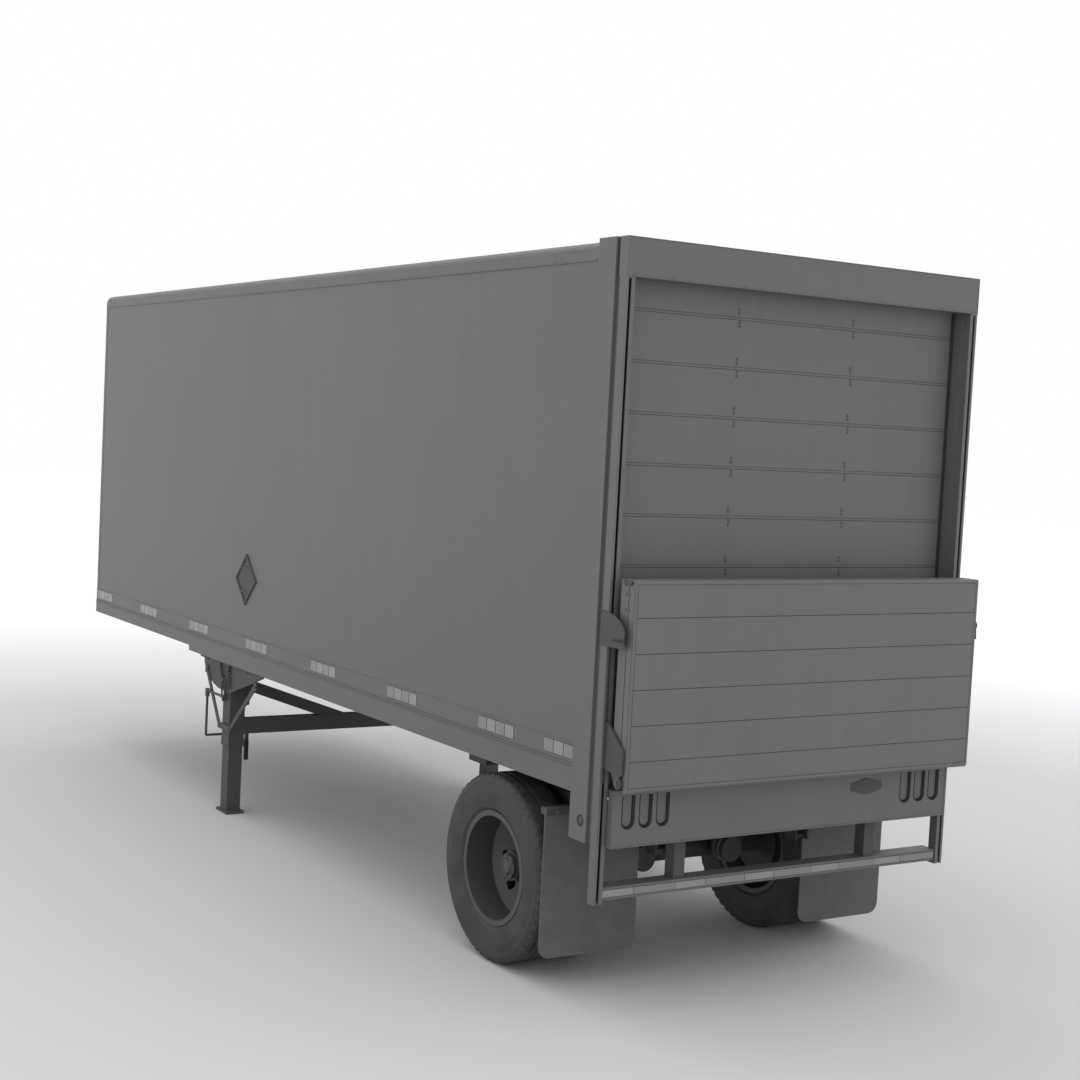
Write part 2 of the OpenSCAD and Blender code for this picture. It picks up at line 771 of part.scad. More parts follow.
module tyre(x) {
    w = tyre_w / 2;
    tread = 0.38 * tyre_w;
    translate([x, hub_y, hub_z]) rotate([0, 90, 0]) rotate_extrude($fn = 96) polygon([
        [bead_r + 0.3, 0.5 - rim_half], [rim_r + 0.5, 0.5 - rim_half], [rim_r + 14, -rim_half - 14],
        [rim_r + 60, 6 - w], [rim_r + 110, -w],
        [rim_r + 160, 4 - w], [tyre_r - 22, -tread - 16], [tyre_r - 6, -tread], [tyre_r, -tread + 24],
        [tyre_r, tread - 24], [tyre_r - 6, tread], [tyre_r - 22, tread + 16], [rim_r + 160, w - 4],
        [rim_r + 110, w], [rim_r + 60, w - 6], [rim_r + 14, rim_half + 14],
        [rim_r + 0.5, rim_half - 0.5], [bead_r + 0.3, rim_half - 0.5], [bead_r + 0.3, rim_half - 40],
        [rim_r + 14, rim_half - 30], [rim_r + 60, w - 26], [rim_r + 110, w - 18], [tyre_r - 50, tread],
        [tyre_r - 40, 0],
        [tyre_r - 50, -tread], [rim_r + 110, 18 - w], [rim_r + 60, 26 - w],
        [rim_r + 14, 30 - rim_half], [bead_r + 0.3, 40 - rim_half]]);
}

module tyres(s) { color("#2e2e2e") sided(s) for (x = [outer_x, inner_x]) tyre(x); }

// A disc rim about its tyre's middle, dished to meet its twin's disc
module rim(to_disc) {
    lip = rim_half + 8;
    well = bead_r - 10;
    rotate_extrude($fn = 96) polygon([
        [well, -lip], [rim_r, -lip], [rim_r, -rim_half], [bead_r, -rim_half], [bead_r, rim_half],
        [rim_r, rim_half], [rim_r, lip], [well, lip], [well, rim_half - 28], [185, to_disc],
        [hub_r - 8, to_disc], [hub_r - 8, to_disc - disc_t], [178, to_disc - disc_t], [well, rim_half - 44]]);
}

module wheel(s) {
    hand_hole_r = 30;
    drum_x = inner_x - 56;
    color("#5a5a5a") sided(s) difference() {
        union() {
            translate([outer_x, hub_y, hub_z]) rotate([0, -90, 0]) rim(outer_x - dual_x);
            translate([inner_x, hub_y, hub_z]) rotate([0, 90, 0]) rim(dual_x - inner_x);
            across(hub_r, dual_x - 90, dual_x + 40, hub_y, hub_z);
            across(86, dual_x + 39, outer_x - 10, hub_y, hub_z);
            across(74, outer_x - 11, outer_x + 12, hub_y, hub_z);
            difference() {
                across(drum_r, drum_x, dual_x - 60, hub_y, hub_z);
                across(drum_r - 10, drum_x - 1, dual_x - 72, hub_y, hub_z);
            }
        }
        across(spindle_r + spindle_gap, drum_x - 1, outer_x - 40, hub_y, hub_z);
        for (a = [0 : 45 : 315])
            translate([0, hub_y, hub_z]) rotate([a, 0, 0])
                across(hand_hole_r, dual_x - 58, dual_x + 62, 0, 230);
    }
}

// ---- Small assemblies

module mud_flaps() {
    r = 70;
    x1 = tyre_out;
    color("#3a3a3a") both() {
        translate([0, flap_y + flap_t, 0]) rotate([90, 0, 0]) linear_extrude(flap_t) polygon(concat(
            [[flap_x0, flap_top], [flap_x0, flap_bot + r]],
            [for (a = [180 : 15 : 270]) [flap_x0 + r + r * cos(a), flap_bot + r + r * sin(a)]],
            [for (a = [270 : 15 : 360]) [x1 - r + r * cos(a), flap_bot + r + r * sin(a)]],
            [[x1, flap_top]]));
    }
}

module flap_brackets() {
    y = flap_y + flap_t;
    color("#4b4b4b") both() {
        slab(frame_x + frame_w / 2 - 20, tyre_out, y, y + 40, flap_top - 40, flap_top);
        slab(frame_x - frame_w / 2, frame_x + frame_w / 2, y, y + 40, flap_top - 40, rail_seat - frame_h);
    }
}

// A square frame stood on its corner, with two bars across it
module placard_frame() {
    side = 272;
    lip = 16;
    y = front_y - 3483;
    z = 1855;
    translate([wall_x, y, z]) {
        rotate([45, 0, 0]) difference() {
            slab(0, post_proud, -side / 2, side / 2, -side / 2, side / 2);
            slab(4, post_proud + 1, lip - side / 2, side / 2 - lip, lip - side / 2, side / 2 - lip);
        }
        for (h = [-92, 84]) slab(3, post_proud, -90, 90, h - 7, h + 7);
    }
}

module placard_frames() { color("#5a5a5a") both() placard_frame(); }

module air_tank() {
    r = 118;
    z = rail_z - r - 14;
    y = cross_y(8);
    color("#4b4b4b") {
        across(r, -340, 340, y, z);
        for (x = [-200, 200]) slab(x - 20, x + 20, y - 60, y + 60, z + 90, rail_seat);
    }
}

module lift_power_box() {
    y = cross_y(10);
    color("#4b4b4b") slab(-300, 300, y - 210, y + 210, rail_z - 300, rail_seat);
}

// Air and electric connectors on the front wall
module service_box() {
    z = deck_z + 190;
    y1 = front_y + service_out;
    color("#5a5a5a") difference() {
        union() {
            slab(-170, 170, front_y, front_y + 22, z - 60, z + 60);
            along(34, 0, front_y + 22, y1, z);
            both() along(26, 110, front_y + 22, y1 - 4, z);
        }
        along(22.5, 0, front_y + 12, y1 + 1, z);
        both() along(10, 110, front_y + 30, y1 + 1, z);
    }
}

floor();
cross_members();
subframe();
side_wall(-1);  // side_wall_left
side_wall(1);  // side_wall_right
front_wall();
roof();
top_rail(-1);  // top_rail_left
top_rail(1);  // top_rail_right
bottom_rail(-1);  // bottom_rail_left
bottom_rail(1);  // bottom_rail_right
coupler_plate();
king_pin();
rear_post(-1);  // rear_post_left
rear_post(1);  // rear_post_right
rear_header();
rear_sill();
rear_apron();
rear_door();
lift_column(-1);  // lift_column_left
lift_column(1);  // lift_column_right
platform_latches();
bumper_bar();
bumper_posts();
landing_leg(-1);  // landing_leg_left
landing_leg(1);  // landing_leg_right
leg_side_braces();
leg_cross_brace();
leg_crank();
spring_hangers();
leaf_springs();
axle();
brake_chambers();
mud_flaps();
flap_brackets();
placard_frames();
air_tank();
lift_power_box();
service_box();
tyres(-1);  // tyres_left
tyres(1);  // tyres_right
wheel(-1);  // wheel_left
wheel(1);  // wheel_right
lift_runner(-1);  // lift_runner_left
lift_runner(1);  // lift_runner_right
platform_main();
platform_lugs();
platform_links();
platform_flip();
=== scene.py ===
import json
import math

import bmesh
import bpy
from mathutils import Matrix, Vector


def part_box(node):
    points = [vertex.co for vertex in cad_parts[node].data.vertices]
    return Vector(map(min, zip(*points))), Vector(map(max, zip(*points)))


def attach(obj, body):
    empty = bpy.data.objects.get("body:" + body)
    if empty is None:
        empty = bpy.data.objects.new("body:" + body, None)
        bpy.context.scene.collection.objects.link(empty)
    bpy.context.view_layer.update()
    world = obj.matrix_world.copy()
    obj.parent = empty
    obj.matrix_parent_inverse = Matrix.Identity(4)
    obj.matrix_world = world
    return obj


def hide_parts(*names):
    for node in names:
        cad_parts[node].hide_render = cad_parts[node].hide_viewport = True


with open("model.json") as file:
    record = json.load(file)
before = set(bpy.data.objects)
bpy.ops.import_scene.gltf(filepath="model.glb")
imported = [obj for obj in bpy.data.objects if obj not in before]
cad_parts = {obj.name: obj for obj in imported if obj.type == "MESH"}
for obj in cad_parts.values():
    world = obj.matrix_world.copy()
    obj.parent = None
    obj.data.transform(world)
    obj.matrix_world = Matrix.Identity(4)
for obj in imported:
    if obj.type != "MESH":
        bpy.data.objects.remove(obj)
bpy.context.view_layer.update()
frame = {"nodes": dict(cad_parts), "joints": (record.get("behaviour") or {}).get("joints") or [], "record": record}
print("frame loaded:", len(frame["nodes"]), "nodes")

# places that several pieces share, all taken from the frame, in metres
sides = (-1, 1)
namedSides = (("Left", -1), ("Right", 1))
headerLow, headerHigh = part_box("rear_header")
postLow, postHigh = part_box("rear_post_right")
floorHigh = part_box("floor")[1]
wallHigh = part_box("side_wall_right")[1]
frontLow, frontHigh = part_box("front_wall")
tyreLow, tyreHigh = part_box("tyres_right")
flipLow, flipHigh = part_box("platform_flip")
mainLow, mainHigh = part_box("platform_main")
apronLow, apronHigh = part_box("rear_apron")
guardLow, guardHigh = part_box("bumper_bar")
doorLow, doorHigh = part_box("rear_door")
columnLow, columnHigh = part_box("lift_column_right")
legLow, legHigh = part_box("landing_leg_right")
rearY = headerLow.y
frontY = frontHigh.y
halfWidth = postHigh.x
deckZ = floorHigh.z
hub = (0, (tyreLow.y + tyreHigh.y) / 2, (tyreLow.z + tyreHigh.z) / 2)
hubY, hubZ = hub[1:]
legY = (legLow.y + legHigh.y) / 2
lapX = wallHigh.x + 0.003  # outer face of the rails' flat laps
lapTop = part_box("bottom_rail_right")[1].z
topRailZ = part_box("top_rail_right")[0].z
jointPlaces = {joint["name"]: joint["pos_m"] for joint in frame["joints"] if "pos_m" in joint}


# shared ways to build materials

def put(tree, kind, values=None, **settings):
    node = tree.nodes.new(kind)
    for key, value in settings.items():
        setattr(node, key, value)
    for key, value in (values or {}).items():
        socket = node.inputs[key]
        if isinstance(value, bpy.types.NodeSocket):
            tree.links.new(value, socket)
        else:
            socket.default_value = value
    return node


def calc(tree, operation, a, b=0.0, clamp=False):
    return put(tree, "ShaderNodeMath", {0: a, 1: b}, operation=operation, use_clamp=clamp).outputs[0]


def objectPlace(tree):
    return put(tree, "ShaderNodeTexCoord").outputs["Object"]


def noiseOf(tree, place, scale, detail=3.0, rough=0.5):
    values = {"Vector": place, "Scale": scale, "Detail": detail, "Roughness": rough}
    return put(tree, "ShaderNodeTexNoise", values).outputs["Fac"]


def stretched(tree, place, scale):
    return put(tree, "ShaderNodeMapping", {"Vector": place, "Scale": scale}).outputs[0]


def ranged(tree, value, low, high, start=0.0, end=1.0):
    return put(tree, "ShaderNodeMapRange", {0: value, 1: low, 2: high, 3: start, 4: end}).outputs[0]


def blended(tree, factor, a, b, how="MIX"):
    return put(tree, "ShaderNodeMix", {0: factor, 6: a, 7: b}, data_type="RGBA", blend_type=how).outputs[2]


def newGroup(name, inputs):
    tree = bpy.data.node_groups.new(name, "ShaderNodeTree")
    for label, start in inputs.items():
        kind = "NodeSocketColor" if isinstance(start, tuple) else "NodeSocketFloat"
        tree.interface.new_socket(name=label, in_out="INPUT", socket_type=kind).default_value = start
    for label, kind in (("Color", "Color"), ("Roughness", "Float"), ("Height", "Float")):
        tree.interface.new_socket(name=label, in_out="OUTPUT", socket_type="NodeSocket" + kind)
    return tree, tree.nodes.new("NodeGroupInput").outputs


def endGroup(tree, color, roughness, height):
    put(tree, "NodeGroupOutput", {"Color": color, "Roughness": roughness, "Height": height})
    return tree


def grey(level, warmth=0.0):
    return (level * (1 + warmth), level, level * (1 - warmth), 1)


def makeRoadGrime():
    # paint that has been on the road: clouding, rain streaks, dust low down, fine orange peel
    tree, source = newGroup("roadGrime", {
        "Paint": grey(0.15), "Dust": grey(0.2), "Dust Top": 1.3, "Dust Amount": 0.4, "Streaks": 0.2,
        "Clouding": 0.1, "Base Roughness": 0.45, "Peel Scale": 260.0})
    place = objectPlace(tree)
    height = put(tree, "ShaderNodeSeparateXYZ", {0: place}).outputs[2]
    clouds = noiseOf(tree, place, 1.1, 5, 0.6)
    speckle = noiseOf(tree, place, 42, 4, 0.65)
    streaks = noiseOf(tree, stretched(tree, place, (14, 14, 0.55)), 1.0, 6, 0.6)
    fineStreaks = noiseOf(tree, stretched(tree, place, (70, 70, 1.4)), 1.0, 3)
    offset = calc(tree, "SUBTRACT", clouds, 0.5)
    tint = put(tree, "ShaderNodeMath", {0: offset, 1: source["Clouding"], 2: 1.0}, operation="MULTIPLY_ADD")
    tint = tint.outputs[0]
    shade = put(tree, "ShaderNodeCombineColor", {0: tint, 1: tint, 2: tint}).outputs[0]
    color = blended(tree, 1.0, source["Paint"], shade, "MULTIPLY")
    low = ranged(tree, height, 0.0, source["Dust Top"], 1.0, 0.0)
    dust = calc(tree, "MULTIPLY", low, ranged(tree, calc(tree, "ADD", clouds, speckle), 0.75, 1.25))
    dust = calc(tree, "MULTIPLY", dust, source["Dust Amount"], True)
    streaks = calc(tree, "MULTIPLY", ranged(tree, streaks, 0.45, 0.75), fineStreaks)
    streaks = calc(tree, "MULTIPLY", streaks, source["Streaks"], True)
    color = blended(tree, streaks, color, blended(tree, 0.6, source["Paint"], grey(0.05)))
    color = blended(tree, dust, color, source["Dust"])
    rough = calc(tree, "ADD", source["Base Roughness"], ranged(tree, speckle, 0.25, 0.75, -0.05, 0.05))
    rough = calc(tree, "ADD", rough, calc(tree, "MULTIPLY", dust, 0.3))
    rough = calc(tree, "ADD", rough, calc(tree, "MULTIPLY", streaks, 0.15), True)
    peel = noiseOf(tree, place, source["Peel Scale"], 2.0)
    bumps = calc(tree, "ADD", calc(tree, "MULTIPLY", peel, 0.12), noiseOf(tree, place, 2.6, 2))
    return endGroup(tree, color, rough, bumps)


def makeRubberBloom():
    # rubber: grey bloom, dried splashes and a pebbled skin
    tree, source = newGroup("rubberBloom", {
        "Rubber": grey(0.02), "Bloom": grey(0.09), "Amount": 0.5, "Pebble Scale": 320.0})
    place = objectPlace(tree)
    patches = ranged(tree, noiseOf(tree, place, 7, 6, 0.62), 0.35, 0.75)
    splashes = ranged(tree, noiseOf(tree, place, 34, 3), 0.56, 0.7)
    mask = calc(tree, "ADD", patches, calc(tree, "MULTIPLY", splashes, 0.25))
    mask = calc(tree, "MULTIPLY", mask, source["Amount"], True)
    pebble = put(tree, "ShaderNodeTexVoronoi", {"Vector": place, "Scale": source["Pebble Scale"]}).outputs[0]
    color = blended(tree, mask, source["Rubber"], source["Bloom"])
    return endGroup(tree, color, ranged(tree, mask, 0, 1, 0.62, 0.92), pebble)


def makeSteelScuff():
    # bare or thinly coated steel: drawn lines, scuffs and a little rust bloom
    tree, source = newGroup("steelScuff", {
        "Steel": grey(0.3), "Rust": (0.09, 0.06, 0.045, 1), "Rust Amount": 0.3, "Base Roughness": 0.4})
    place = objectPlace(tree)
    drawn = noiseOf(tree, stretched(tree, place, (6, 180, 180)), 1.0, 3)
    scuffs = noiseOf(tree, place, 24, 6, 0.7)
    rust = ranged(tree, noiseOf(tree, place, 5.5, 7, 0.7), 0.5, 0.72)
    rust = calc(tree, "MULTIPLY", rust, source["Rust Amount"], True)
    color = blended(tree, ranged(tree, drawn, 0.3, 0.7, 0.0, 0.35), source["Steel"], grey(0.08))
    color = blended(tree, rust, color, source["Rust"])
    rough = calc(tree, "ADD", source["Base Roughness"], ranged(tree, scuffs, 0.2, 0.8, -0.1, 0.16))
    rough = calc(tree, "ADD", rough, calc(tree, "MULTIPLY", rust, 0.35), True)
    return endGroup(tree, color, rough, calc(tree, "ADD", calc(tree, "MULTIPLY", drawn, 0.3), scuffs))


roadGrime = makeRoadGrime()
rubberBloom = makeRubberBloom()
steelScuff = makeSteelScuff()


def coated(group, values, metallic=0.0, coat=0.0, bump=0.1, extra=None):
    material = bpy.data.materials.new("finish")
    material.use_nodes = True
    tree = material.node_tree
    effect = put(tree, "ShaderNodeGroup", node_tree=group)
    for key, value in values.items():
        effect.inputs[key].default_value = value
    color, height = effect.outputs["Color"], effect.outputs["Height"]
    if extra:
        color, height = extra(tree, color, height)
    raised = put(tree, "ShaderNodeBump", {"Strength": bump, "Distance": 0.002, "Height": height}).outputs[0]
    shader = tree.nodes["Principled BSDF"].inputs
    rough = effect.outputs["Roughness"]
    for key, socket in (("Base Color", color), ("Roughness", rough), ("Normal", raised)):
        tree.links.new(socket, shader[key])
    shader["Metallic"].default_value = metallic
    shader["Coat Weight"].default_value = coat
    shader["Coat Roughness"].default_value = 0.25
    return material


def painted(paint, dust, dustTop, dustAmount, streaks, clouding, roughness, peel=260.0, **rest):
    return coated(roadGrime, {
        "Paint": paint, "Dust": dust, "Dust Top": dustTop, "Dust Amount": dustAmount, "Streaks": streaks,
        "Clouding": clouding, "Base Roughness": roughness, "Peel Scale": peel}, **rest)


def rubbery(rubber, bloom, amount, pebble, bump):
    values = {"Rubber": rubber, "Bloom": bloom, "Amount": amount, "Pebble Scale": pebble}
    return coated(rubberBloom, values, bump=bump)


def scuffed(steel, rust, rustAmount, roughness, metallic, bump):
    values = {"Steel": steel, "Rust": rust, "Rust Amount": rustAmount, "Base Roughness": roughness}
    return coated(steelScuff, values, metallic=metallic, bump=bump)


def boardLines(tree, color, height):
    # hardwood boards laid along the trailer, each with its own tone and grain
    boardWidth, gapShare = 0.152, 0.02
    place = objectPlace(tree)
    across = put(tree, "ShaderNodeSeparateXYZ", {0: place}).outputs[0]
    along = calc(tree, "DIVIDE", across, boardWidth)
    tone = put(tree, "ShaderNodeTexWhiteNoise", {"W": calc(tree, "FLOOR", along)}, noise_dimensions="1D")
    grain = noiseOf(tree, stretched(tree, place, (60, 2.2, 60)), 1.0, 6, 0.6)
    seam = calc(tree, "LESS_THAN", calc(tree, "FRACT", along), gapShare)
    color = blended(tree, ranged(tree, tone.outputs["Value"], 0, 1, 0.0, 0.45), color, grey(0.07, 0.15))
    color = blended(tree, ranged(tree, grain, 0.3, 0.7, 0.0, 0.5), color, grey(0.05, 0.2))
    color = blended(tree, seam, color, grey(0.01))
    return color, calc(tree, "SUBTRACT", grain, calc(tree, "MULTIPLY", seam, 2.0))


def prismDots(tree, color, height):
    # the moulded cells of reflective tape
    values = {"Vector": objectPlace(tree), "Scale": 190.0}
    cells = put(tree, "ShaderNodeTexVoronoi", values, distance="MANHATTAN").outputs[0]
    return blended(tree, ranged(tree, cells, 0.25, 0.6, 0.0, 0.35), color, grey(0.32)), cells


tapeCoat = {"coat": 0.3, "bump": 0.12, "extra": prismDots}
finishes = {
    # paint, dust, the height dust reaches, its amount, streaks, clouding, roughness
    "bodyPaint": painted(grey(0.108), grey(0.145, 0.02), 2.2, 0.3, 0.22, 0.12, 0.5, coat=0.12, bump=0.06),
    "roofPaint": painted(grey(0.13), grey(0.19, 0.03), 9.0, 0.5, 0.1, 0.2, 0.6),
    "framePaint": painted(grey(0.052), grey(0.1, 0.04), 1.4, 0.55, 0.3, 0.3, 0.58, bump=0.16),
    "doorPaint": painted(grey(0.112), grey(0.145, 0.02), 2.6, 0.25, 0.28, 0.14, 0.52, coat=0.08, bump=0.07),
    "deckBoards": painted(grey(0.16, 0.18), grey(0.2, 0.08), 2.0, 0.4, 0.0, 0.3, 0.7, bump=0.25,
                          extra=boardLines),
    "platformPaint": painted(grey(0.12), grey(0.16, 0.03), 3.0, 0.3, 0.35, 0.16, 0.46, 180.0),
    "wheelPaint": painted(grey(0.055), grey(0.065, 0.08), 1.5, 0.6, 0.1, 0.25, 0.42, coat=0.1),
    "tapeLight": painted(grey(0.2), grey(0.17), 2.0, 0.35, 0.2, 0.1, 0.34, **tapeCoat),
    "tapeDark": painted(grey(0.135), grey(0.15), 2.0, 0.35, 0.2, 0.1, 0.34, **tapeCoat),
    "lampLens": painted(grey(0.018), grey(0.06), 1.6, 0.15, 0.1, 0.2, 0.2, 90.0, coat=0.6, bump=0.2),
    # rubber, bloom, its amount, pebble scale, bump
    "tyreRubber": rubbery(grey(0.026), grey(0.085, 0.03), 0.6, 260.0, 0.08),
    "flapRubber": rubbery(grey(0.09), grey(0.14, 0.03), 0.7, 150.0, 0.12),
    # near-black rubber for gaskets, seals and grips; also the painted shade in the apron wells, the column slots
    # and the plank grooves
    "gasketAndShadeBlack": rubbery(grey(0.012), grey(0.04), 0.5, 500.0, 0.06),
    # steel, rust, its amount, roughness, metallic, bump
    "darkSteel": scuffed(grey(0.05), (0.075, 0.05, 0.038, 1), 0.5, 0.6, 0.35, 0.2),
    "pinSteel": scuffed(grey(0.34), (0.1, 0.08, 0.06, 1), 0.25, 0.34, 0.9, 0.08),
    "boltZinc": scuffed(grey(0.13), (0.09, 0.07, 0.05, 1), 0.35, 0.45, 0.55, 0.1),
}
for name, material in finishes.items():
    material.name = name
slotFinish = {
    "body_panel": "bodyPaint", "roof_skin": "roofPaint", "door_skin": "doorPaint", "deck_wood": "deckBoards",
    "frame_steel": "framePaint", "dark_steel": "darkSteel", "platform_metal": "platformPaint",
    "tyre_rubber": "tyreRubber", "wheel_metal": "wheelPaint", "flap_rubber": "flapRubber",
    "pin_steel": "pinSteel"}
for part in frame["record"]["subparts"]:
    node = frame["nodes"][part["node"]]
    node.data.materials.clear()
    node.data.materials.append(finishes[slotFinish[part["material_slot"]]])
print("finishes made:", len(finishes))


# shared ways to build pieces

def addBox(mesh, a, b, bevel=0.0, segments=2):
    # a box between any two opposite corners
    low, high = (Vector([*map(pick, a, b)]) for pick in (min, max))
    shape = Matrix.Translation((high + low) / 2) @ Matrix.Diagonal((*(high - low), 1))
    made = bmesh.ops.create_cube(mesh, size=1.0, matrix=shape)
    if bevel:
        edges = list(dict.fromkeys(edge for corner in made["verts"] for edge in corner.link_edges))
        bmesh.ops.bevel(mesh, geom=edges, offset=bevel, segments=segments, affect="EDGES", profile=0.5)


def addSpun(mesh, profile, centre, axis="X", steps=32, closed=False, start=0.0, side=1):
    # profile holds (distance along the axis from start, radius) pairs; side -1 mirrors it
    turn = {"X": lambda a, r, t: (a, r * math.cos(t), r * math.sin(t)),
            "Y": lambda a, r, t: (r * math.sin(t), a, r * math.cos(t)),
            "Z": lambda a, r, t: (r * math.cos(t), r * math.sin(t), a)}[axis]
    rings = []
    for step in range(steps):
        angle = 2 * math.pi * step / steps
        rings.append([mesh.verts.new(Vector(turn((start + a) * side, r, angle)) + Vector(centre))
                      for a, r in profile])
    count = len(profile)
    for step in range(steps):
        here, after = rings[step], rings[(step + 1) % steps]
        for i in range(count if closed else count - 1):
            j = (i + 1) % count
            mesh.faces.new((here[i], here[j], after[j], after[i]))


def addPipe(mesh, points, radius, steps=10):
    # a round bar or pipe along the points, mitred at each bend
    points = [Vector(point) for point in points]
    rings = []
    for i, point in enumerate(points):
        before = (point - points[i - 1]).normalized() if i else None
        after = (points[i + 1] - point).normalized() if i + 1 < len(points) else None
        run = ((before or after) + (after or before)).normalized()
        side = run.cross(Vector((0, 0, 1)) if abs(run.z) < 0.9 else Vector((0, 1, 0))).normalized()
        if rings and rings[-1][1].dot(side) < 0:
            side = -side
        up = side.cross(run)
        ring = [mesh.verts.new(point + radius * (math.cos(t) * side + math.sin(t) * up))
                for t in (2 * math.pi * k / steps for k in range(steps))]
        rings.append((ring, side))
    for (a, _), (b, _) in zip(rings, rings[1:]):
        for k in range(steps):
            mesh.faces.new((a[k], a[(k + 1) % steps], b[(k + 1) % steps], b[k]))
    mesh.faces.new(rings[0][0])
    mesh.faces.new(rings[-1][0])


def addPlate(mesh, outline, depth, placing, bevel=0.0):
    # a flat plate from a (u, v) outline, pushed along w; placing(u, v, w) gives the point
    front = [mesh.verts.new(placing(u, v, 0)) for u, v in outline]
    back = [mesh.verts.new(placing(u, v, depth)) for u, v in outline]
    mesh.faces.new(front)
    top = mesh.faces.new(back[::-1])
    for i in range(len(outline)):
        j = (i + 1) % len(outline)
        mesh.faces.new((front[i], back[i], back[j], front[j]))
    if bevel:
        bmesh.ops.bevel(mesh, geom=list(top.edges), offset=bevel, segments=2, affect="EDGES", profile=0.5)


def finished(name, data, bodyName, sharpAngle=38):
    data.shade_smooth()
    data.set_sharp_from_angle(angle=math.radians(sharpAngle))
    piece = bpy.data.objects.new(name, data)
    bpy.context.scene.collection.objects.link(piece)
    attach(piece, bodyName)
    return piece


def meshData(name, mesh, weld=0.00002):
    if weld:
        bmesh.ops.remove_doubles(mesh, verts=mesh.verts, dist=weld)
    bmesh.ops.recalc_face_normals(mesh, faces=mesh.faces)
    data = bpy.data.meshes.new(name)
    mesh.to_mesh(data)
    mesh.free()
    return data


def fromMesh(name, mesh, finish, bodyName="trailer"):
    data = meshData(name, mesh)
    data.materials.append(finishes[finish])
    return finished(name, data, bodyName)


def newGeometryTree(name, inputs):
    tree = bpy.data.node_groups.new(name, "GeometryNodeTree")
    tree.interface.new_socket(name="Geometry", in_out="INPUT", socket_type="NodeSocketGeometry")
    for label, kind, start in inputs:
        socket = tree.interface.new_socket(name=label, in_out="INPUT", socket_type="NodeSocket" + kind)
        if start is not None:
            socket.default_value = start
    tree.interface.new_socket(name="Geometry", in_out="OUTPUT", socket_type="NodeSocketGeometry")
    return tree, tree.nodes.new("NodeGroupInput").outputs


def endTree(tree, source, geometry):
    real = put(tree, "GeometryNodeRealizeInstances", {0: geometry}).outputs[0]
    coat = put(tree, "GeometryNodeSetMaterial", {"Geometry": real, "Material": source["Material"]})
    put(tree, "NodeGroupOutput", {0: coat.outputs[0]})
    return tree


def makeFastenerTree():
    # a head on each point, turned to face outwards, with a washer under it
    tree, source = newGeometryTree("fasteners", [
        ("Head Radius", "Float", 0.006), ("Head Height", "Float", 0.004), ("Top Share", "Float", 0.7),
        ("Washer Radius", "Float", 0.008), ("Sides", "Int", 6), ("Material", "Material", None)])
    head = put(tree, "GeometryNodeMeshCone", {
        "Vertices": source["Sides"], "Radius Bottom": source["Head Radius"], "Depth": source["Head Height"],
        "Radius Top": calc(tree, "MULTIPLY", source["Head Radius"], source["Top Share"])}).outputs[0]
    washer = put(tree, "GeometryNodeMeshCylinder", {
        "Vertices": 12, "Radius": source["Washer Radius"],
        "Depth": calc(tree, "MULTIPLY", source["Head Height"], 0.3)}).outputs[0]
    both = put(tree, "GeometryNodeJoinGeometry", {0: head})
    tree.links.new(washer, both.inputs[0])
    way = put(tree, "GeometryNodeInputNamedAttribute", {"Name": "facing"}, data_type="FLOAT_VECTOR")
    turned = put(tree, "FunctionNodeAlignRotationToVector", {"Vector": way.outputs[0]}, axis="Z").outputs[0]
    return endTree(tree, source, put(tree, "GeometryNodeInstanceOnPoints", {
        "Points": source["Geometry"], "Instance": both.outputs[0], "Rotation": turned}).outputs[0])


def makeCellTree():
    # a thin plate on each point, all turned the same way
    tree, source = newGeometryTree("cells", [
        ("Size", "Vector", (0.001, 0.1, 0.07)), ("Material", "Material", None)])
    plate = put(tree, "GeometryNodeMeshCube", {"Size": source["Size"]}).outputs[0]
    return endTree(tree, source, put(tree, "GeometryNodeInstanceOnPoints", {
        "Points": source["Geometry"], "Instance": plate}).outputs[0])


def makeRingTree():
    # copies of one mesh round the X axis, then moved to their hub
    tree, source = newGeometryTree("aroundHub", [
        ("Count", "Int", 10), ("Hub", "Vector", (0, 0, 0)), ("Weld", "Float", 0.0001),
        ("Material", "Material", None)])
    points = put(tree, "GeometryNodePoints", {"Count": source["Count"]}).outputs[0]
    step = calc(tree, "DIVIDE", 2 * math.pi, source["Count"])
    turn = calc(tree, "MULTIPLY", put(tree, "GeometryNodeInputIndex").outputs[0], step)
    copies = put(tree, "GeometryNodeInstanceOnPoints", {
        "Points": points, "Instance": source["Geometry"],
        "Rotation": put(tree, "ShaderNodeCombineXYZ", {0: turn}).outputs[0]}).outputs[0]
    moved = put(tree, "GeometryNodeTransform", {"Geometry": copies, "Translation": source["Hub"]}).outputs[0]
    real = put(tree, "GeometryNodeRealizeInstances", {0: moved}).outputs[0]
    return endTree(tree, source, put(tree, "GeometryNodeMergeByDistance", {
        "Geometry": real, "Distance": source["Weld"]}).outputs[0])


fastenerTree = makeFastenerTree()
cellTree = makeCellTree()
ringTree = makeRingTree()


def grown(name, seed, tree, values, finish, bodyName="trailer"):
    carrier = bpy.data.objects.new(name + "Seed", seed)
    bpy.context.scene.collection.objects.link(carrier)
    modifier = carrier.modifiers.new("grow", "NODES")
    modifier.node_group = tree
    settings = dict(values, Material=finishes[finish])
    for item in tree.interface.items_tree:
        if item.in_out == "INPUT" and item.name in settings:
            modifier[item.identifier] = settings[item.name]
    data = bpy.data.meshes.new_from_object(carrier.evaluated_get(bpy.context.evaluated_depsgraph_get()))
    data.name = name
    bpy.data.objects.remove(carrier)
    return finished(name, data, bodyName)


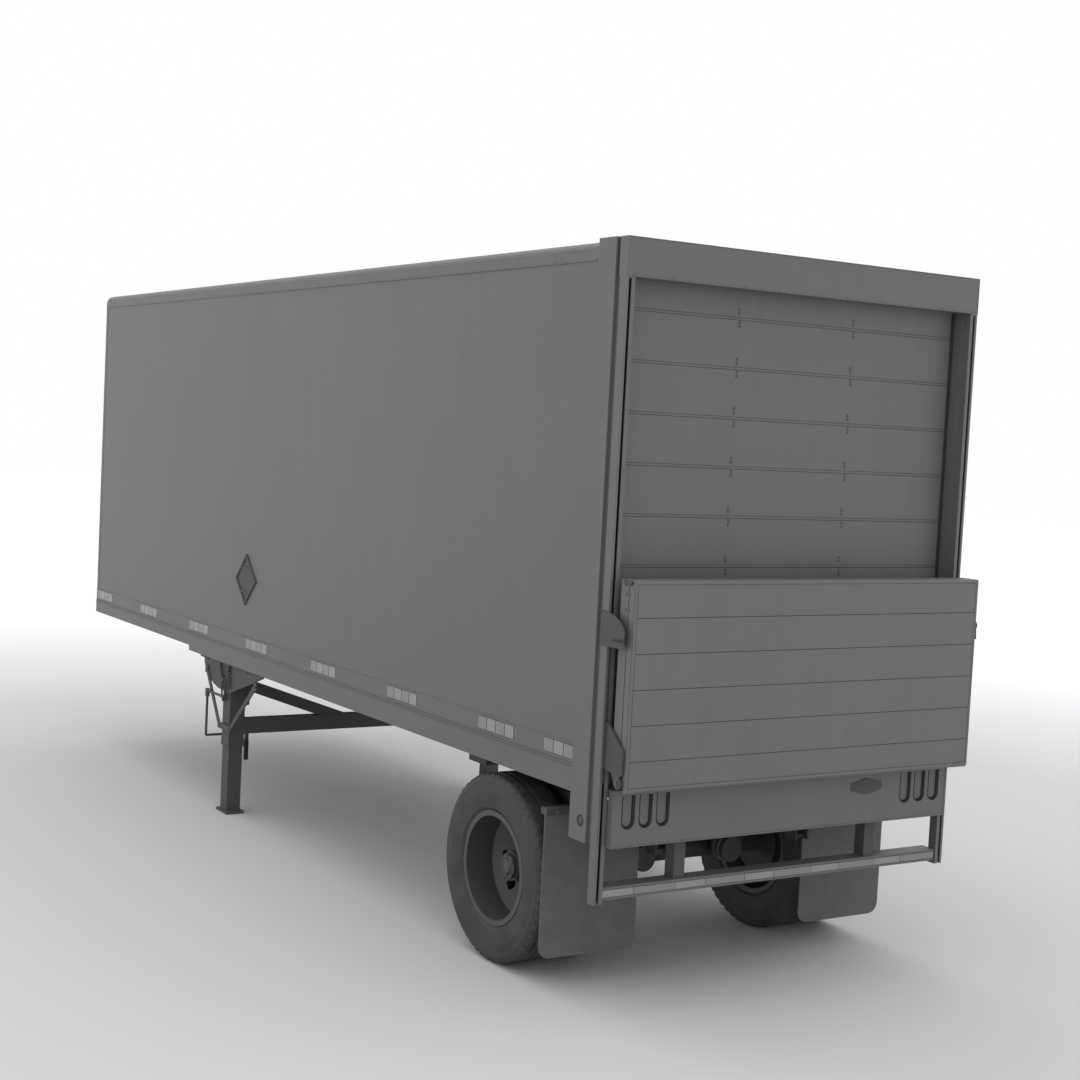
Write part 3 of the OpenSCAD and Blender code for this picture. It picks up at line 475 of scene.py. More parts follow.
def seedPoints(places):
    # loose points, each with the way it faces
    data = bpy.data.meshes.new("seed")
    data.from_pydata([tuple(point) for point, _ in places], [], [])
    facing = data.attributes.new("facing", "FLOAT_VECTOR", "POINT")
    for i, (_, way) in enumerate(places):
        facing.data[i].vector = way
    return data


def fastened(name, places, sizes, finish="boltZinc", bodyName="trailer"):
    # sizes holds head radius, head height, share of the radius left at the top, washer radius and sides
    labels = ("Head Radius", "Head Height", "Top Share", "Washer Radius", "Sides")
    grown(name, seedPoints(places), fastenerTree, dict(zip(labels, sizes)), finish, bodyName)


def spaced(start, end, pitch):
    count = max(1, round((end - start) / pitch))
    return [start + (end - start) * i / count for i in range(count + 1)]


# tyres: one tread pitch, copied round the hub

tyreSizes = {
    "pitches": 54, "width": 0.278, "spread": 0.33, "rimRadius": 0.333, "grooves": (0.074, 0.0255),
    "grooveDepth": 0.013, "grooveWidth": 0.011, "zigzag": 0.005, "notchDepth": 0.009,
    "phases": (0, 0, 0, 0, 1, 1),  # the last two steps of a pitch are the notch between shoulder blocks
    # bead: across, above the rim
    "bead": ((0.0965, -0.0215), (0.1075, 0.0006), (0.1185, 0.009), (0.123, 0.016), (0.1262, 0.019),
             (0.1262, 0.026), (0.1318, 0.045)),
    # ribs: in from the side, above the rim
    "ribs": ((0.0035, 0.075), (0.001, 0.098), (0.0, 0.104), (0.0, 0.112), (0.001, 0.118), (0.003, 0.14)),
    # wall and shoulder: in from the side, below the crown, share of the notch
    "wall": ((0.0065, 0.053), (0.0065, 0.046), (0.0085, 0.044), (0.014, 0.026)),
    "shoulder": ((0.019, 0.016, 1.0), (0.0265, 0.006, 1.0), (0.04, 0.0025, 0.7)),
    # cavity: across, above the rim; its roof: across, below the crown
    "cavity": ((0.118, 0.1), (0.09, 0.03), (0.07, -0.02)),
    "roof": ((-0.098, 0.05), (0, 0.04), (0.098, 0.05))}


def treadProfile(sizes, outside, phase):
    # (across, radius) points from one bead over the tread to the other, then back inside
    half, rim = sizes["width"] / 2, sizes["rimRadius"]
    crown = outside - 0.0005
    wall = [(x, rim + up) for x, up in sizes["bead"]]
    wall += [(half - into, rim + up) for into, up in sizes["ribs"]]
    wall += [(half - into, crown - down) for into, down in sizes["wall"]]
    notch = sizes["notchDepth"] if phase else 0.0
    right = [(half - into, crown - down - notch * share) for into, down, share in sizes["shoulder"]]
    fixed = len(right)
    sway = sizes["zigzag"] / 2 * (1 if phase else -1)
    deep, gap = sizes["grooveDepth"], sizes["grooveWidth"] / 2
    for middle in sizes["grooves"]:
        right += [(middle + gap + 0.001 + sway, crown - 0.0012), (middle + gap * 0.55 + sway, crown - deep),
                  (middle - gap * 0.55 + sway, crown - deep), (middle - gap - 0.001 + sway, crown - 0.0004)]
    left = [(-x if i < fixed else -(x - 2 * sway), r) for i, (x, r) in enumerate(right)]
    outer = wall + right + [(0.0, crown)] + left[::-1] + [(-x, r) for x, r in wall[::-1]]
    inner = [(x, rim + up) for x, up in sizes["cavity"]]
    roof = [(x, crown - down) for x, down in sizes["roof"]]
    return outer + [(-x, r) for x, r in inner[::-1]] + roof + inner


def tyrePair(sideName, side):
    sizes = tyreSizes
    steps = len(sizes["phases"])
    pitchAngle = 2 * math.pi / sizes["pitches"]
    mesh = bmesh.new()
    for k in (0, 1):
        middle = side * (tyreHigh.x - sizes["width"] / 2 - k * sizes["spread"])
        rings = []
        for step in range(steps + 1):
            angle = pitchAngle * step / steps - pitchAngle / 2
            profile = treadProfile(sizes, tyreHigh.z - hubZ, sizes["phases"][step % steps])
            rings.append([mesh.verts.new((middle + x, r * math.sin(angle), r * math.cos(angle)))
                          for x, r in profile])
        for here, after in zip(rings, rings[1:]):
            for i in range(len(here)):
                j = (i + 1) % len(here)
                mesh.faces.new((here[i], after[i], after[j], here[j]))
    piece = grown("treadedTyres" + sideName, meshData("treadPitch", mesh, 0), ringTree,
                  {"Count": sizes["pitches"], "Hub": hub, "Weld": 0.00005},
                  "tyreRubber", "wheel_" + sideName.lower())
    closed = bmesh.new()
    closed.from_mesh(piece.data)
    bmesh.ops.recalc_face_normals(closed, faces=closed.faces)
    closed.to_mesh(piece.data)
    closed.free()
    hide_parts("tyres_" + sideName.lower())


for sideName, side in namedSides:
    tyrePair(sideName, side)
print("tyres treaded")


# wheels: nuts, studs, hub cap and valve

wheelSizes = {
    "nuts": 10, "nutCircle": 0.14285, "discOut": 0.012, "capOut": 0.012, "capBolts": 6, "capCircle": 0.062,
    # out from the disc, radius
    "flange": ((0.0, 0.0), (0.0, 0.023), (0.004, 0.022), (0.006, 0.0165), (0.006, 0.0)),
    "hex": ((0.006, 0.0), (0.006, 0.0165), (0.028, 0.0165), (0.031, 0.0145), (0.031, 0.011)),
    "stud": ((0.031, 0.011), (0.044, 0.0105), (0.046, 0.009), (0.046, 0.0)),
    "pilotRing": ((0.0, 0.118), (0.005, 0.1175), (0.005, 0.113), (0.0, 0.1125)),
    # out from the hub's face, radius
    "cap": ((-0.001, 0.0), (-0.001, 0.072), (0.003, 0.0705), (0.004, 0.05), (0.006, 0.048), (0.015, 0.044),
            (0.018, 0.04), (0.018, 0.03), (0.0145, 0.028), (0.0145, 0.0)),
    "capBolt": ((0.003, 0.0), (0.003, 0.0065), (0.0075, 0.0065), (0.0085, 0.005), (0.0085, 0.0)),
    # out from the valve's foot, above the hub
    "valveIn": 0.03, "valveRadius": 0.0045, "valve": ((-0.05, 0.297), (0.03, 0.292), (0.06, 0.285))}


def wheelTrim(sideName, side):
    sizes = wheelSizes
    bodyName = "wheel_" + sideName.lower()
    middle = tyreHigh.x - tyreSizes["width"] / 2
    disc = middle - tyreSizes["spread"] / 2 + sizes["discOut"]
    nut = bmesh.new()
    for profile, steps in (("flange", 18), ("hex", 6), ("stud", 12)):
        addSpun(nut, sizes[profile], (0, 0, sizes["nutCircle"]), steps=steps, start=disc, side=side)
    grown("wheelNuts" + sideName, meshData("wheelNut", nut), ringTree,
          {"Count": sizes["nuts"], "Hub": hub, "Weld": 0.00002}, "boltZinc", bodyName)
    face = middle + sizes["capOut"]
    cap = bmesh.new()
    addSpun(cap, sizes["cap"], hub, steps=48, start=face, side=side)
    addSpun(cap, sizes["pilotRing"], hub, steps=48, closed=True, start=disc, side=side)
    for k in range(sizes["capBolts"]):
        angle = 2 * math.pi * k / sizes["capBolts"]
        spot = (0, hubY + sizes["capCircle"] * math.sin(angle), hubZ + sizes["capCircle"] * math.cos(angle))
        addSpun(cap, sizes["capBolt"], spot, steps=6, start=face, side=side)
    foot = middle - sizes["valveIn"]
    valve = [(side * (foot + out), hubY, hubZ + up) for out, up in sizes["valve"]]
    addPipe(cap, valve, sizes["valveRadius"], 8)
    fromMesh("hubCap" + sideName, cap, "wheelPaint", bodyName)


for sideName, side in namedSides:
    wheelTrim(sideName, side)
print("wheels trimmed")


# reflective tape

tapeSizes = {"sidePitch": 1.163, "sideGroups": 7, "firstFromFront": 0.035, "lastFromPost": 0.302, "cells": 4,
             "cellLength": 0.1, "cellHeight": 0.078, "below": 0.012, "edge": 0.003, "thickness": 0.0007,
             "guardLong": 0.277, "guardShort": 0.207, "guardHeight": 0.044}


def sideTape(sideName, side):
    sizes = tapeSizes
    thick, length, height = sizes["thickness"], sizes["cellLength"], sizes["cellHeight"]
    z = lapTop - sizes["below"] - height / 2
    starts = [frontY - sizes["firstFromFront"] - i * sizes["sidePitch"] for i in range(sizes["sideGroups"])]
    starts.append(postHigh.y + sizes["lastFromPost"])
    cells = {"Light": [], "Dark": [], "Backing": []}
    for start in starts:
        for k in range(sizes["cells"]):
            y = start - (k + 0.5) * length
            if y < postHigh.y + length / 2:
                continue
            cells["Light" if k % 2 else "Dark"].append(((side * (lapX + 1.5 * thick), y, z), (side, 0, 0)))
            cells["Backing"].append(((side * (lapX + thick / 2), y, z), (side, 0, 0)))
    for kind, finish, edge in (("Light", "tapeLight", sizes["edge"]), ("Dark", "tapeDark", sizes["edge"]),
                               ("Backing", "gasketAndShadeBlack", 0)):
        grown("sideTape" + kind + sideName, seedPoints(cells[kind]), cellTree,
              {"Size": (thick, length - 2 * edge, height - 2 * edge)}, finish)


def guardTape():
    sizes = tapeSizes
    face, z = guardLow.y, (guardLow.z + guardHigh.z) / 2
    edge, thick, half = sizes["edge"], sizes["thickness"], sizes["guardHeight"] / 2
    cells = {"Light": bmesh.new(), "Dark": bmesh.new()}
    x, index = guardLow.x, 0
    while x < guardHigh.x - 0.01:
        end = min(x + sizes["guardLong" if index % 2 else "guardShort"], guardHigh.x)
        addBox(cells["Dark" if index % 2 else "Light"], (x + edge / 2, face - 2 * thick, z - half + edge),
               (end - edge / 2, face - thick, z + half - edge))
        x, index = end, index + 1
    for kind, mesh in cells.items():
        fromMesh("guardTape" + kind, mesh, "tape" + kind)
    backing = bmesh.new()
    addBox(backing, (guardLow.x, face - thick, z - half), (guardHigh.x, face, z + half))
    fromMesh("guardTapeBacking", backing, "gasketAndShadeBlack")


for sideName, side in namedSides:
    sideTape(sideName, side)
guardTape()
print("tape laid")


# rivets, mouldings and roof seams of the body

bodySizes = {
    "rivet": (0.0045, 0.0018, 0.55, 0.0001, 8), "railPitch": 0.1, "endPitch": 0.12, "endMargin": 0.03,
    "noseRows": (deckZ - 0.03, deckZ + 0.04, frontHigh.z - 0.05),
    # height, how tall, how far past the lap: a ledge and a line under the tape, a drip edge under the cove
    "strips": ((deckZ - 0.0035, 0.007, 0.0045), (deckZ - 0.018, 0.004, 0.003),
               (topRailZ - 0.002, 0.004, 0.0015)),
    "angleReach": 0.045, "angleOut": 0.0016, "angleGap": 0.0001, "angleFoot": 0.111,
    "seamPitch": 1.2, "seamMargin": 0.6, "seamHalf": 0.012, "seamTall": 0.0016, "edgeHalf": 0.02,
    "edgeTall": 0.0018}


def bodyRivets():
    sizes = bodySizes
    places = []
    for side in sides:
        for y in spaced(postHigh.y + sizes["endMargin"], frontY - sizes["endMargin"], sizes["railPitch"]):
            between = y + 0.05 if y < frontY - 0.1 else y  # the middle row is staggered
            for rowY, z in ((y, lapTop - 0.006), (between, deckZ + 0.012), (y, topRailZ + 0.009)):
                places.append(((side * lapX, rowY, z), (side, 0, 0)))
        for z in spaced(deckZ + 0.14, topRailZ - 0.04, sizes["endPitch"]):
            places.append(((side * (wallHigh.x - 0.022), frontY, z), (0, 1, 0)))
    for x in spaced(frontLow.x + 0.06, frontHigh.x - 0.06, sizes["endPitch"]):
        places += [((x, frontY, z), (0, 1, 0)) for z in sizes["noseRows"]]
    fastened("bodyRivets", places, sizes["rivet"], "bodyPaint")


def bodyMouldings():
    # the walls' trim strips and the front corner angles
    sizes = bodySizes
    reach, out, gap = sizes["angleReach"], sizes["angleOut"], sizes["angleGap"]
    corner = [(out, out), (out, -reach), (gap, -reach), (gap, gap), (-reach, gap), (-reach, out)]
    low = deckZ + sizes["angleFoot"]
    mesh = bmesh.new()
    for side in sides:
        for z, tall, proud in sizes["strips"]:
            addBox(mesh, (side * (wallHigh.x + 0.001), postHigh.y, z - tall / 2),
                   (side * (lapX + 0.002 + proud), frontY, z + tall / 2), 0.0008, 1)
        addPlate(mesh, corner, topRailZ - low - 0.001,
                 lambda u, v, w, side=side: (side * (wallHigh.x + u), frontY + v, low + w))
    fromMesh("bodyMouldings", mesh, "bodyPaint")


def roofSeams():
    sizes = bodySizes
    mesh = bmesh.new()
    roofLow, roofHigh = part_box("roof")
    half, edge, low = sizes["seamHalf"], sizes["edgeHalf"], roofHigh.z
    for y in spaced(roofLow.y + sizes["seamMargin"], roofHigh.y - sizes["seamMargin"], sizes["seamPitch"]):
        addBox(mesh, (roofLow.x, y - half, low), (roofHigh.x, y + half, low + sizes["seamTall"]), 0.0007, 1)
    for side in sides:
        x = side * roofHigh.x
        addBox(mesh, (x - edge, roofLow.y, low), (x + edge, roofHigh.y, low + sizes["edgeTall"]), 0.0007, 1)
    fromMesh("roofSeams", mesh, "roofPaint")


bodyRivets()
bodyMouldings()
roofSeams()
print("body trimmed")


# roll-up door

doorSizes = {"sections": 10, "lip": 0.014, "lipProud": 0.0025, "lineGap": 0.0022, "screwRow": 0.415,
             "screw": (0.0075, 0.005, 0.7, 0.01, 12), "screwSpots": (0.022, 0.044), "rollerIn": 0.09,
             "trackTop": 3.99, "stripTop": 3.905, "plateHalf": (0.03, 0.045), "rollerRadius": 0.006}
doorPitch = (doorHigh.z - doorLow.z + 0.0005) / doorSizes["sections"]
doorJoints = [doorLow.z + k * doorPitch for k in range(1, doorSizes["sections"])]


def doorTrim():
    # lips, dark joint lines and hinge screws on the outer face
    sizes = doorSizes
    face, gap = doorLow.y, sizes["lineGap"]
    lips, seals, screws = bmesh.new(), bmesh.new(), []
    left, right = doorLow.x + 0.004, doorHigh.x - 0.004
    for z in doorJoints:
        addBox(lips, (left, face - sizes["lipProud"], z - sizes["lip"]), (right, face, z - gap), 0.001, 1)
        for low in (z - gap, z - sizes["lip"] - gap):
            addBox(seals, (left, face - 0.0008, low), (right, face, low + gap))
        for side in sides:
            for above, drop in ((1, 0.0), (-1, 0.006)):
                for spot in sizes["screwSpots"]:
                    x = side * sizes["screwRow"] - 0.003 * above
                    screws.append(((x, face, z + above * spot - drop), (0, -1, 0)))
    fromMesh("doorLips", lips, "doorPaint")
    addBox(seals, (left, face - 0.004, doorLow.z), (right, face + 0.002, doorLow.z + 0.018), 0.002)
    fromMesh("doorSeals", seals, "gasketAndShadeBlack")
    fastened("doorScrews", screws, sizes["screw"])


def doorGuides():
    # side tracks, weather strips and the hinges and rollers on the door's inner face
    sizes = doorSizes
    inner = doorHigh.y
    halfX, halfZ = sizes["plateHalf"]
    tracks, strips = bmesh.new(), bmesh.new()
    for side in sides:
        wall = side * (doorHigh.x + 0.0003)
        for reach, near, far in ((0.045, 0.004, 0.007), (0.003, 0.007, 0.03)):
            addBox(tracks, (wall - side * reach, inner + near, deckZ + 0.004),
                   (wall, inner + far, sizes["trackTop"]), 0.0006, 1)
        addBox(strips, (wall - side * 0.022, doorLow.y - 0.007, deckZ + 0.002),
               (wall, doorLow.y - 0.0015, sizes["stripTop"]), 0.001, 1)
        for z in doorJoints:
            for x in (side * sizes["screwRow"], side * (doorHigh.x - sizes["rollerIn"])):
                left, right, y = x - halfX, x + halfX, inner + 0.007
                addBox(tracks, (left, inner, z - halfZ), (right, inner + 0.003, z + halfZ), 0.001, 1)
                addPipe(tracks, [(left, y, z), (right, y, z)], sizes["rollerRadius"], 8)
    fromMesh("doorTracks", tracks, "boltZinc")
    fromMesh("doorStrips", strips, "gasketAndShadeBlack")


doorTrim()
doorGuides()
print("door trimmed")


# rear frame: apron recesses, blank badge, lamps, frame bolts, header edges

rearSizes = {
    "recessRadius": 0.043, "recessWall": 0.013, "recessDepth": 0.0125, "recessPitch": 0.113,
    "recessInset": 0.103, "recessFoot": 1.06, "recessTop": 1.2,
    "badgeAcross": 0.238, "badgeTall": 0.098, "badgeX": 0.572, "badgeZ": 1.137,
    "badgeEdge": ((-1, 0.42), (-0.45, 0.78), (0, 1), (0.45, 0.78), (1, 0.42)),
    "badgeSteps": ((1.0, 0.0, 0.0025), (0.9, 0.0025, 0.0012)),  # share of the outline, base, thickness
    "lampRadius": 0.032, "lampUp": 0.111, "lampIn": 0.152,
    # in from the post's face, share of the lamp's radius
    "bezel": ((0.004, 0.72), (0.0012, 0.74), (0.0005, 0.84), (0.0005, 0.96), (0.004, 1)),
    "lens": ((0.005, 0.73), (0.0025, 0.66), (0.001, 0.4), (0.0004, 0)),
    "bolt": (0.0042, 0.003, 0.8, 0.0055, 6), "boltTop": 3.86, "columnPitch": 0.32, "headerPitch": 0.24}


def apronTrim():
    # three U-shaped wells at each side, their walls near-black as painted shade, rolled edges and a blank badge
    sizes = rearSizes
    face, radius = apronLow.y, sizes["recessRadius"]
    outer, inner, floor = radius - 0.0005, radius - sizes["recessWall"], face + sizes["recessDepth"]
    section = ((outer, face - 0.0015), (outer - 0.003, face - 0.003), (inner, floor), (inner - 0.002, floor),
               (outer, floor))
    wells = bmesh.new()
    for side in sides:
        for k in range(3):
            middle = side * (apronHigh.x - sizes["recessInset"] - k * sizes["recessPitch"])
            rims = []
            for r, y in section:
                path = [(middle - r, sizes["recessTop"])]
                path += [(middle - r * math.cos(t), sizes["recessFoot"] - r * math.sin(t))
                         for t in (math.pi * i / 14 for i in range(15))]
                path += [(middle + r, sizes["recessTop"])]
                rims.append([wells.verts.new((x, y, z)) for x, z in path])
            for i, rim in enumerate(rims):
                other = rims[(i + 1) % len(rims)]
                for a in range(len(rim) - 1):
                    wells.faces.new((rim[a], rim[a + 1], other[a + 1], other[a]))
            wells.faces.new([rim[0] for rim in rims])
            wells.faces.new([rim[-1] for rim in rims])
    # the wells are painted shade: near-black rings standing where the recesses' sloped walls fall in shade
    fromMesh("apronWellShade", wells, "gasketAndShadeBlack")
    edges = bmesh.new()
    y, z = face + 0.001, apronLow.z + 0.006
    addPipe(edges, [(apronLow.x + 0.008, y, z), (apronHigh.x - 0.008, y, z)], 0.0058, 12)
    for x in (-(apronHigh.x - 0.0055), apronHigh.x - 0.0055):
        addPipe(edges, [(x, y, apronLow.z + 0.004), (x, y, apronHigh.z - 0.004)], 0.0052, 10)
    fromMesh("apronEdges", edges, "bodyPaint")
    badge = bmesh.new()
    half, tall, x, z = sizes["badgeAcross"] / 2, sizes["badgeTall"] / 2, sizes["badgeX"], sizes["badgeZ"]
    for share, base, thick in sizes["badgeSteps"]:
        upper = [(u * half * share, v * tall * share) for u, v in sizes["badgeEdge"]]
        addPlate(badge, upper + [(u, -v) for u, v in upper[::-1]], thick,
                 lambda u, v, w, base=base: (x + u, face - base - w, z + v), 0.0008)
    addBox(badge, (x - half * 0.72, face - 0.0052, z - tall * 0.24),
           (x + half * 0.72, face - 0.0034, z + tall * 0.24), 0.0008, 1)
    fromMesh("blankBadge", badge, "framePaint")


def postTrim():
    sizes = rearSizes
    spot, radius = (0, rearY + sizes["lampIn"], postLow.z + sizes["lampUp"]), sizes["lampRadius"]
    bezels, lenses = bmesh.new(), bmesh.new()
    for side in sides:
        for mesh, name, steps in ((bezels, "bezel", 32), (lenses, "lens", 28)):
            addSpun(mesh, [(-into, radius * share) for into, share in sizes[name]], spot, steps=steps,
                    closed=name == "bezel", start=halfWidth, side=side)
    across = spaced(headerLow.x + 0.05, headerHigh.x - 0.05, sizes["headerPitch"])
    upwards = spaced(deckZ, sizes["boltTop"], sizes["columnPitch"])
    spots = [(x, headerLow.z + 0.012) for x in across]
    spots += [(side * (columnLow.x + 0.01), z) for side in sides for z in upwards]
    fromMesh("sideLampBezels", bezels, "gasketAndShadeBlack")
    fromMesh("sideLampLenses", lenses, "lampLens")
    places = [((x, rearY, z), (0, -1, 0)) for x, z in spots]
    fastened("frameBolts", places, sizes["bolt"], "bodyPaint")


def headerTrim():
    # folded edges all round the header
    mesh = bmesh.new()
    for side in sides:
        x = side * headerHigh.x
        addBox(mesh, (x, rearY - 0.0015, headerLow.z), (x - side * 0.004, rearY, headerHigh.z))
    for low in (headerLow.z, headerHigh.z - 0.005):
        addBox(mesh, (headerLow.x, rearY - 0.003, low), (headerHigh.x, rearY, low + 0.005), 0.001, 1)
    fromMesh("headerEdges", mesh, "bodyPaint")


apronTrim()
postTrim()
headerTrim()
print("rear frame trimmed")


# platform and lift

liftSizes = {
    "flipBolt": (0.0085, 0.004, 0.85, 0.011, 6), "mainBolt": (0.0085, 0.0028, 0.85, 0.011, 6),
    "boltDrops": (0.075, 0.155), "capThick": 0.0022, "capInset": 0.009, "capFoot": 0.2, "capDrop": 0.04,
    "bumperX": 1.18, "bumperUp": 0.32, "bumperDown": 0.24,
    "bumper": ((0.0, 0.0), (0.0, 0.02), (0.003, 0.019), (0.0045, 0.014), (0.0045, 0.0)),
    "planks": 6, "groove": 0.004, "frameIn": 0.0165, "frameFoot": 0.03, "frameDrop": 0.02,
    "jointHalf": 0.0011,
    "washerX": 1.2492, "washer": ((0.0, 0.0), (0.0, 0.0225), (0.0016, 0.0225), (0.0016, 0.0165)),
    "pinEnd": ((-0.001, 0.009), (-0.0002, 0.008), (-0.0002, 0.0)),
    "linkEnd": ((-0.002, 0.0), (-0.002, 0.0115), (-0.0006, 0.011), (-0.0006, 0.0)),
    "bufferIn": 0.12, "bufferZ": 2.032, "bufferReach": 0.022, "bufferRadius": 0.009, "bufferThick": 0.0012}


def platformTrim():
    # end caps, bolts, and the rubber bumpers between the folded sections
    sizes = liftSizes
    caps, pads, flipBolts, mainBolts = bmesh.new(), bmesh.new(), [], []
    for side in sides:
        x = side * flipHigh.x
        addBox(caps, (x, flipLow.y + sizes["capInset"], flipLow.z + sizes["capFoot"]),
               (x + side * sizes["capThick"], flipHigh.y - sizes["capInset"], flipHigh.z - sizes["capDrop"]),
               0.0008, 1)
        for z in (flipHigh.z - drop for drop in sizes["boltDrops"]):
            flipBolts.append(((x, flipHigh.y - 0.014, z), (side, 0, 0)))
            mainBolts.append(((side * mainHigh.x, mainLow.y + 0.02, z), (side, 0, 0)))
        for z in (flipLow.z + sizes["bumperUp"], flipHigh.z - sizes["bumperDown"]):
            addSpun(pads, sizes["bumper"], (side * sizes["bumperX"], 0, z), "Y", 18, start=flipHigh.y)
    fromMesh("flipEndCaps", caps, "platformPaint", "flip")
    fastened("flipBolts", flipBolts, sizes["flipBolt"], bodyName="flip")
    fastened("mainBolts", mainBolts, sizes["mainBolt"], bodyName="platform")
    fromMesh("foldBumpers", pads, "gasketAndShadeBlack", "flip")


def plankSeams(name, bodyName, face, outward, low, high):
    # black fill in the plank grooves as painted shade, and the dark joint round the platform's edge frame
    sizes = liftSizes
    mesh = bmesh.new()
    pitch = (high.z - flipLow.z) / sizes["planks"] + 0.002
    into, half, groove = sizes["frameIn"], sizes["jointHalf"], sizes["groove"] / 2
    inner, outer = face - outward * 0.0029, face - outward * 0.0004
    for k in range(1, sizes["planks"]):
        z = high.z - 0.006 - k * pitch
        addBox(mesh, (low.x + into + 0.0017, inner, z - groove), (high.x - into - 0.0017, outer, z + groove))
    inner, outer = face - outward * 0.0002, face + outward * 0.0004
    bottom, top = low.z + sizes["frameFoot"], high.z - sizes["frameDrop"]
    for x in (low.x + into, high.x - into):
        addBox(mesh, (x - half, inner, bottom), (x + half, outer, top))
    for z in (bottom, top):
        addBox(mesh, (low.x + into, inner, z - half), (high.x - into, outer, z + half))
    fromMesh(name, mesh, "gasketAndShadeBlack", bodyName)


def carriageTrim():
    # washers and pin ends at the platform's hinge and on the folding links
    sizes = liftSizes
    pins, washers = bmesh.new(), bmesh.new()
    hinge = (0, *jointPlaces["platform_hinge"][1:])
    armOuter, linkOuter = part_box("lift_runner_right")[1].x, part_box("platform_links")[1].x
    for side in sides:
        addSpun(pins, sizes["washer"], hinge, steps=24, start=sizes["washerX"], side=side)
        addSpun(pins, sizes["pinEnd"], hinge, steps=16, start=armOuter, side=side)
        for name in ("link_hinge", "flip_hinge"):
            pin = (0, *jointPlaces[name][1:])
            addSpun(washers, sizes["linkEnd"], pin, steps=20, start=linkOuter, side=side)
    fromMesh("hingeWashers", pins, "boltZinc", bodyName="lift_carriage")
    fromMesh("linkWashers", washers, "boltZinc", bodyName="flip_link")


def columnTrim():
    # black strips inside the slots as painted shade, and the latches' rubber buffers
    sizes = liftSizes
    strips, buffers = bmesh.new(), bmesh.new()
    y, z = rearY - sizes["bufferIn"], sizes["bufferZ"]
    reach, radius = sizes["bufferReach"], sizes["bufferRadius"]
    turns = [2 * math.pi * (k + 0.5) / 24 for k in range(24)]
    capsule = [(math.copysign(reach, math.cos(t)) + radius * math.cos(t), radius * math.sin(t))
               for t in turns]
    for side in sides:
        for x in (columnLow.x + 0.0085, columnHigh.x - 0.0085):
            addBox(strips, (side * x - 0.0006, columnLow.y + 0.0086, columnLow.z + 0.002),
                   (side * x + 0.0006, columnHigh.y - 0.0086, columnHigh.z - 0.01))
        x = side * (columnHigh.x + 0.0062)
        addPlate(buffers, capsule, sizes["bufferThick"],
                 lambda u, v, w, x=x, side=side: (x + side * w, y + u, z + v), 0.0004)
    fromMesh("columnSlotShade", strips, "gasketAndShadeBlack")
    fromMesh("latchBuffers", buffers, "gasketAndShadeBlack")


plankSeams("flipSeams", "flip", flipLow.y, -1, flipLow, flipHigh)
plankSeams("mainSeams", "platform", mainHigh.y, 1, mainLow, mainHigh)
platformTrim()
carriageTrim()
columnTrim()
print("lift trimmed")


# landing gear

gearSizes = {
    "wireRadius": 0.0036, "linkLength": 0.034, "linkHalfWidth": 0.009, "linkShare": 0.72,
    # top end, low end (forward of the leg, height) and sag as a share of the length
    "chains": (((0.112, 1.14), (0.035, 1.04), 0.04), ((-0.063, 1.14), (-0.09, 0.99), 0.02)),
    "eyeZ": 1.143, "eye": ((-0.001, 0.0), (-0.001, 0.011), (0.016, 0.009), (0.016, 0.0)),
    "ringPlace": (0.024, 0.955), "ringReach": (0.034, 0.085), "ringRadius": 0.0065,
    "gripPlace": (-0.915, 0.33), "gripRibs": 9, "ribPitch": 0.017, "gripTop": (0.165, 0.0175),
    "gripRib": ((0.0, 0.0195), (0.011, 0.0195), (0.013, 0.018), (0.015, 0.018)),
    "caseX": 1.1075, "caseReach": 0.045, "caseHalf": 0.055, "caseZ": (0.84, 1.0),
    # out from the gusset, forward of the leg, height
    "boltSpots": ((0.0105, -0.105, 0.668), (0.0105, 0.105, 0.668), (0, -0.4, 1.15), (0, 0.4, 1.15),
                  (0.0105, -0.57, 1.068), (0.0105, 0.4, 1.068), (0, -0.05, 0.98), (0, -0.05, 1.06),
                  (0, -0.05, 1.12), (0, 0.05, 0.98), (0, 0.05, 1.06), (0, 0.05, 1.12)),
    "bolt": (0.009, 0.007, 0.85, 0.0125, 6)}
gussetX = halfWidth - 0.0365


def addChain(mesh, start, end, sag):
    # each link is a small stadium loop, turned a quarter from the one before
    sizes = gearSizes
    start, end = Vector(start), Vector(end)
    reach, length, wide = (end - start).length, sizes["linkLength"], sizes["linkHalfWidth"]
    count = max(3, round(reach * (1 + sag) / (length * sizes["linkShare"])))
    places = [start.lerp(end, t) + Vector((0, 0, -4 * sag * reach * t * (1 - t)))
              for t in (i / count for i in range(count + 1))]
    for i, (a, b) in enumerate(zip(places, places[1:])):
        run = (b - a).normalized()
        side = run.cross(Vector((1, 0, 0))).normalized()
        if i % 2:
            side = run.cross(side).normalized()
        bend = [wide * (math.cos(t) * side + math.sin(t) * run) for t in (math.pi * k / 4 for k in range(5))]
        middle, straight = (a + b) / 2, run * (length / 2 - wide)
        loop = [middle + straight + step for step in bend] + [middle - straight - step for step in bend]
        addPipe(mesh, loop + [loop[0]], sizes["wireRadius"], 6)


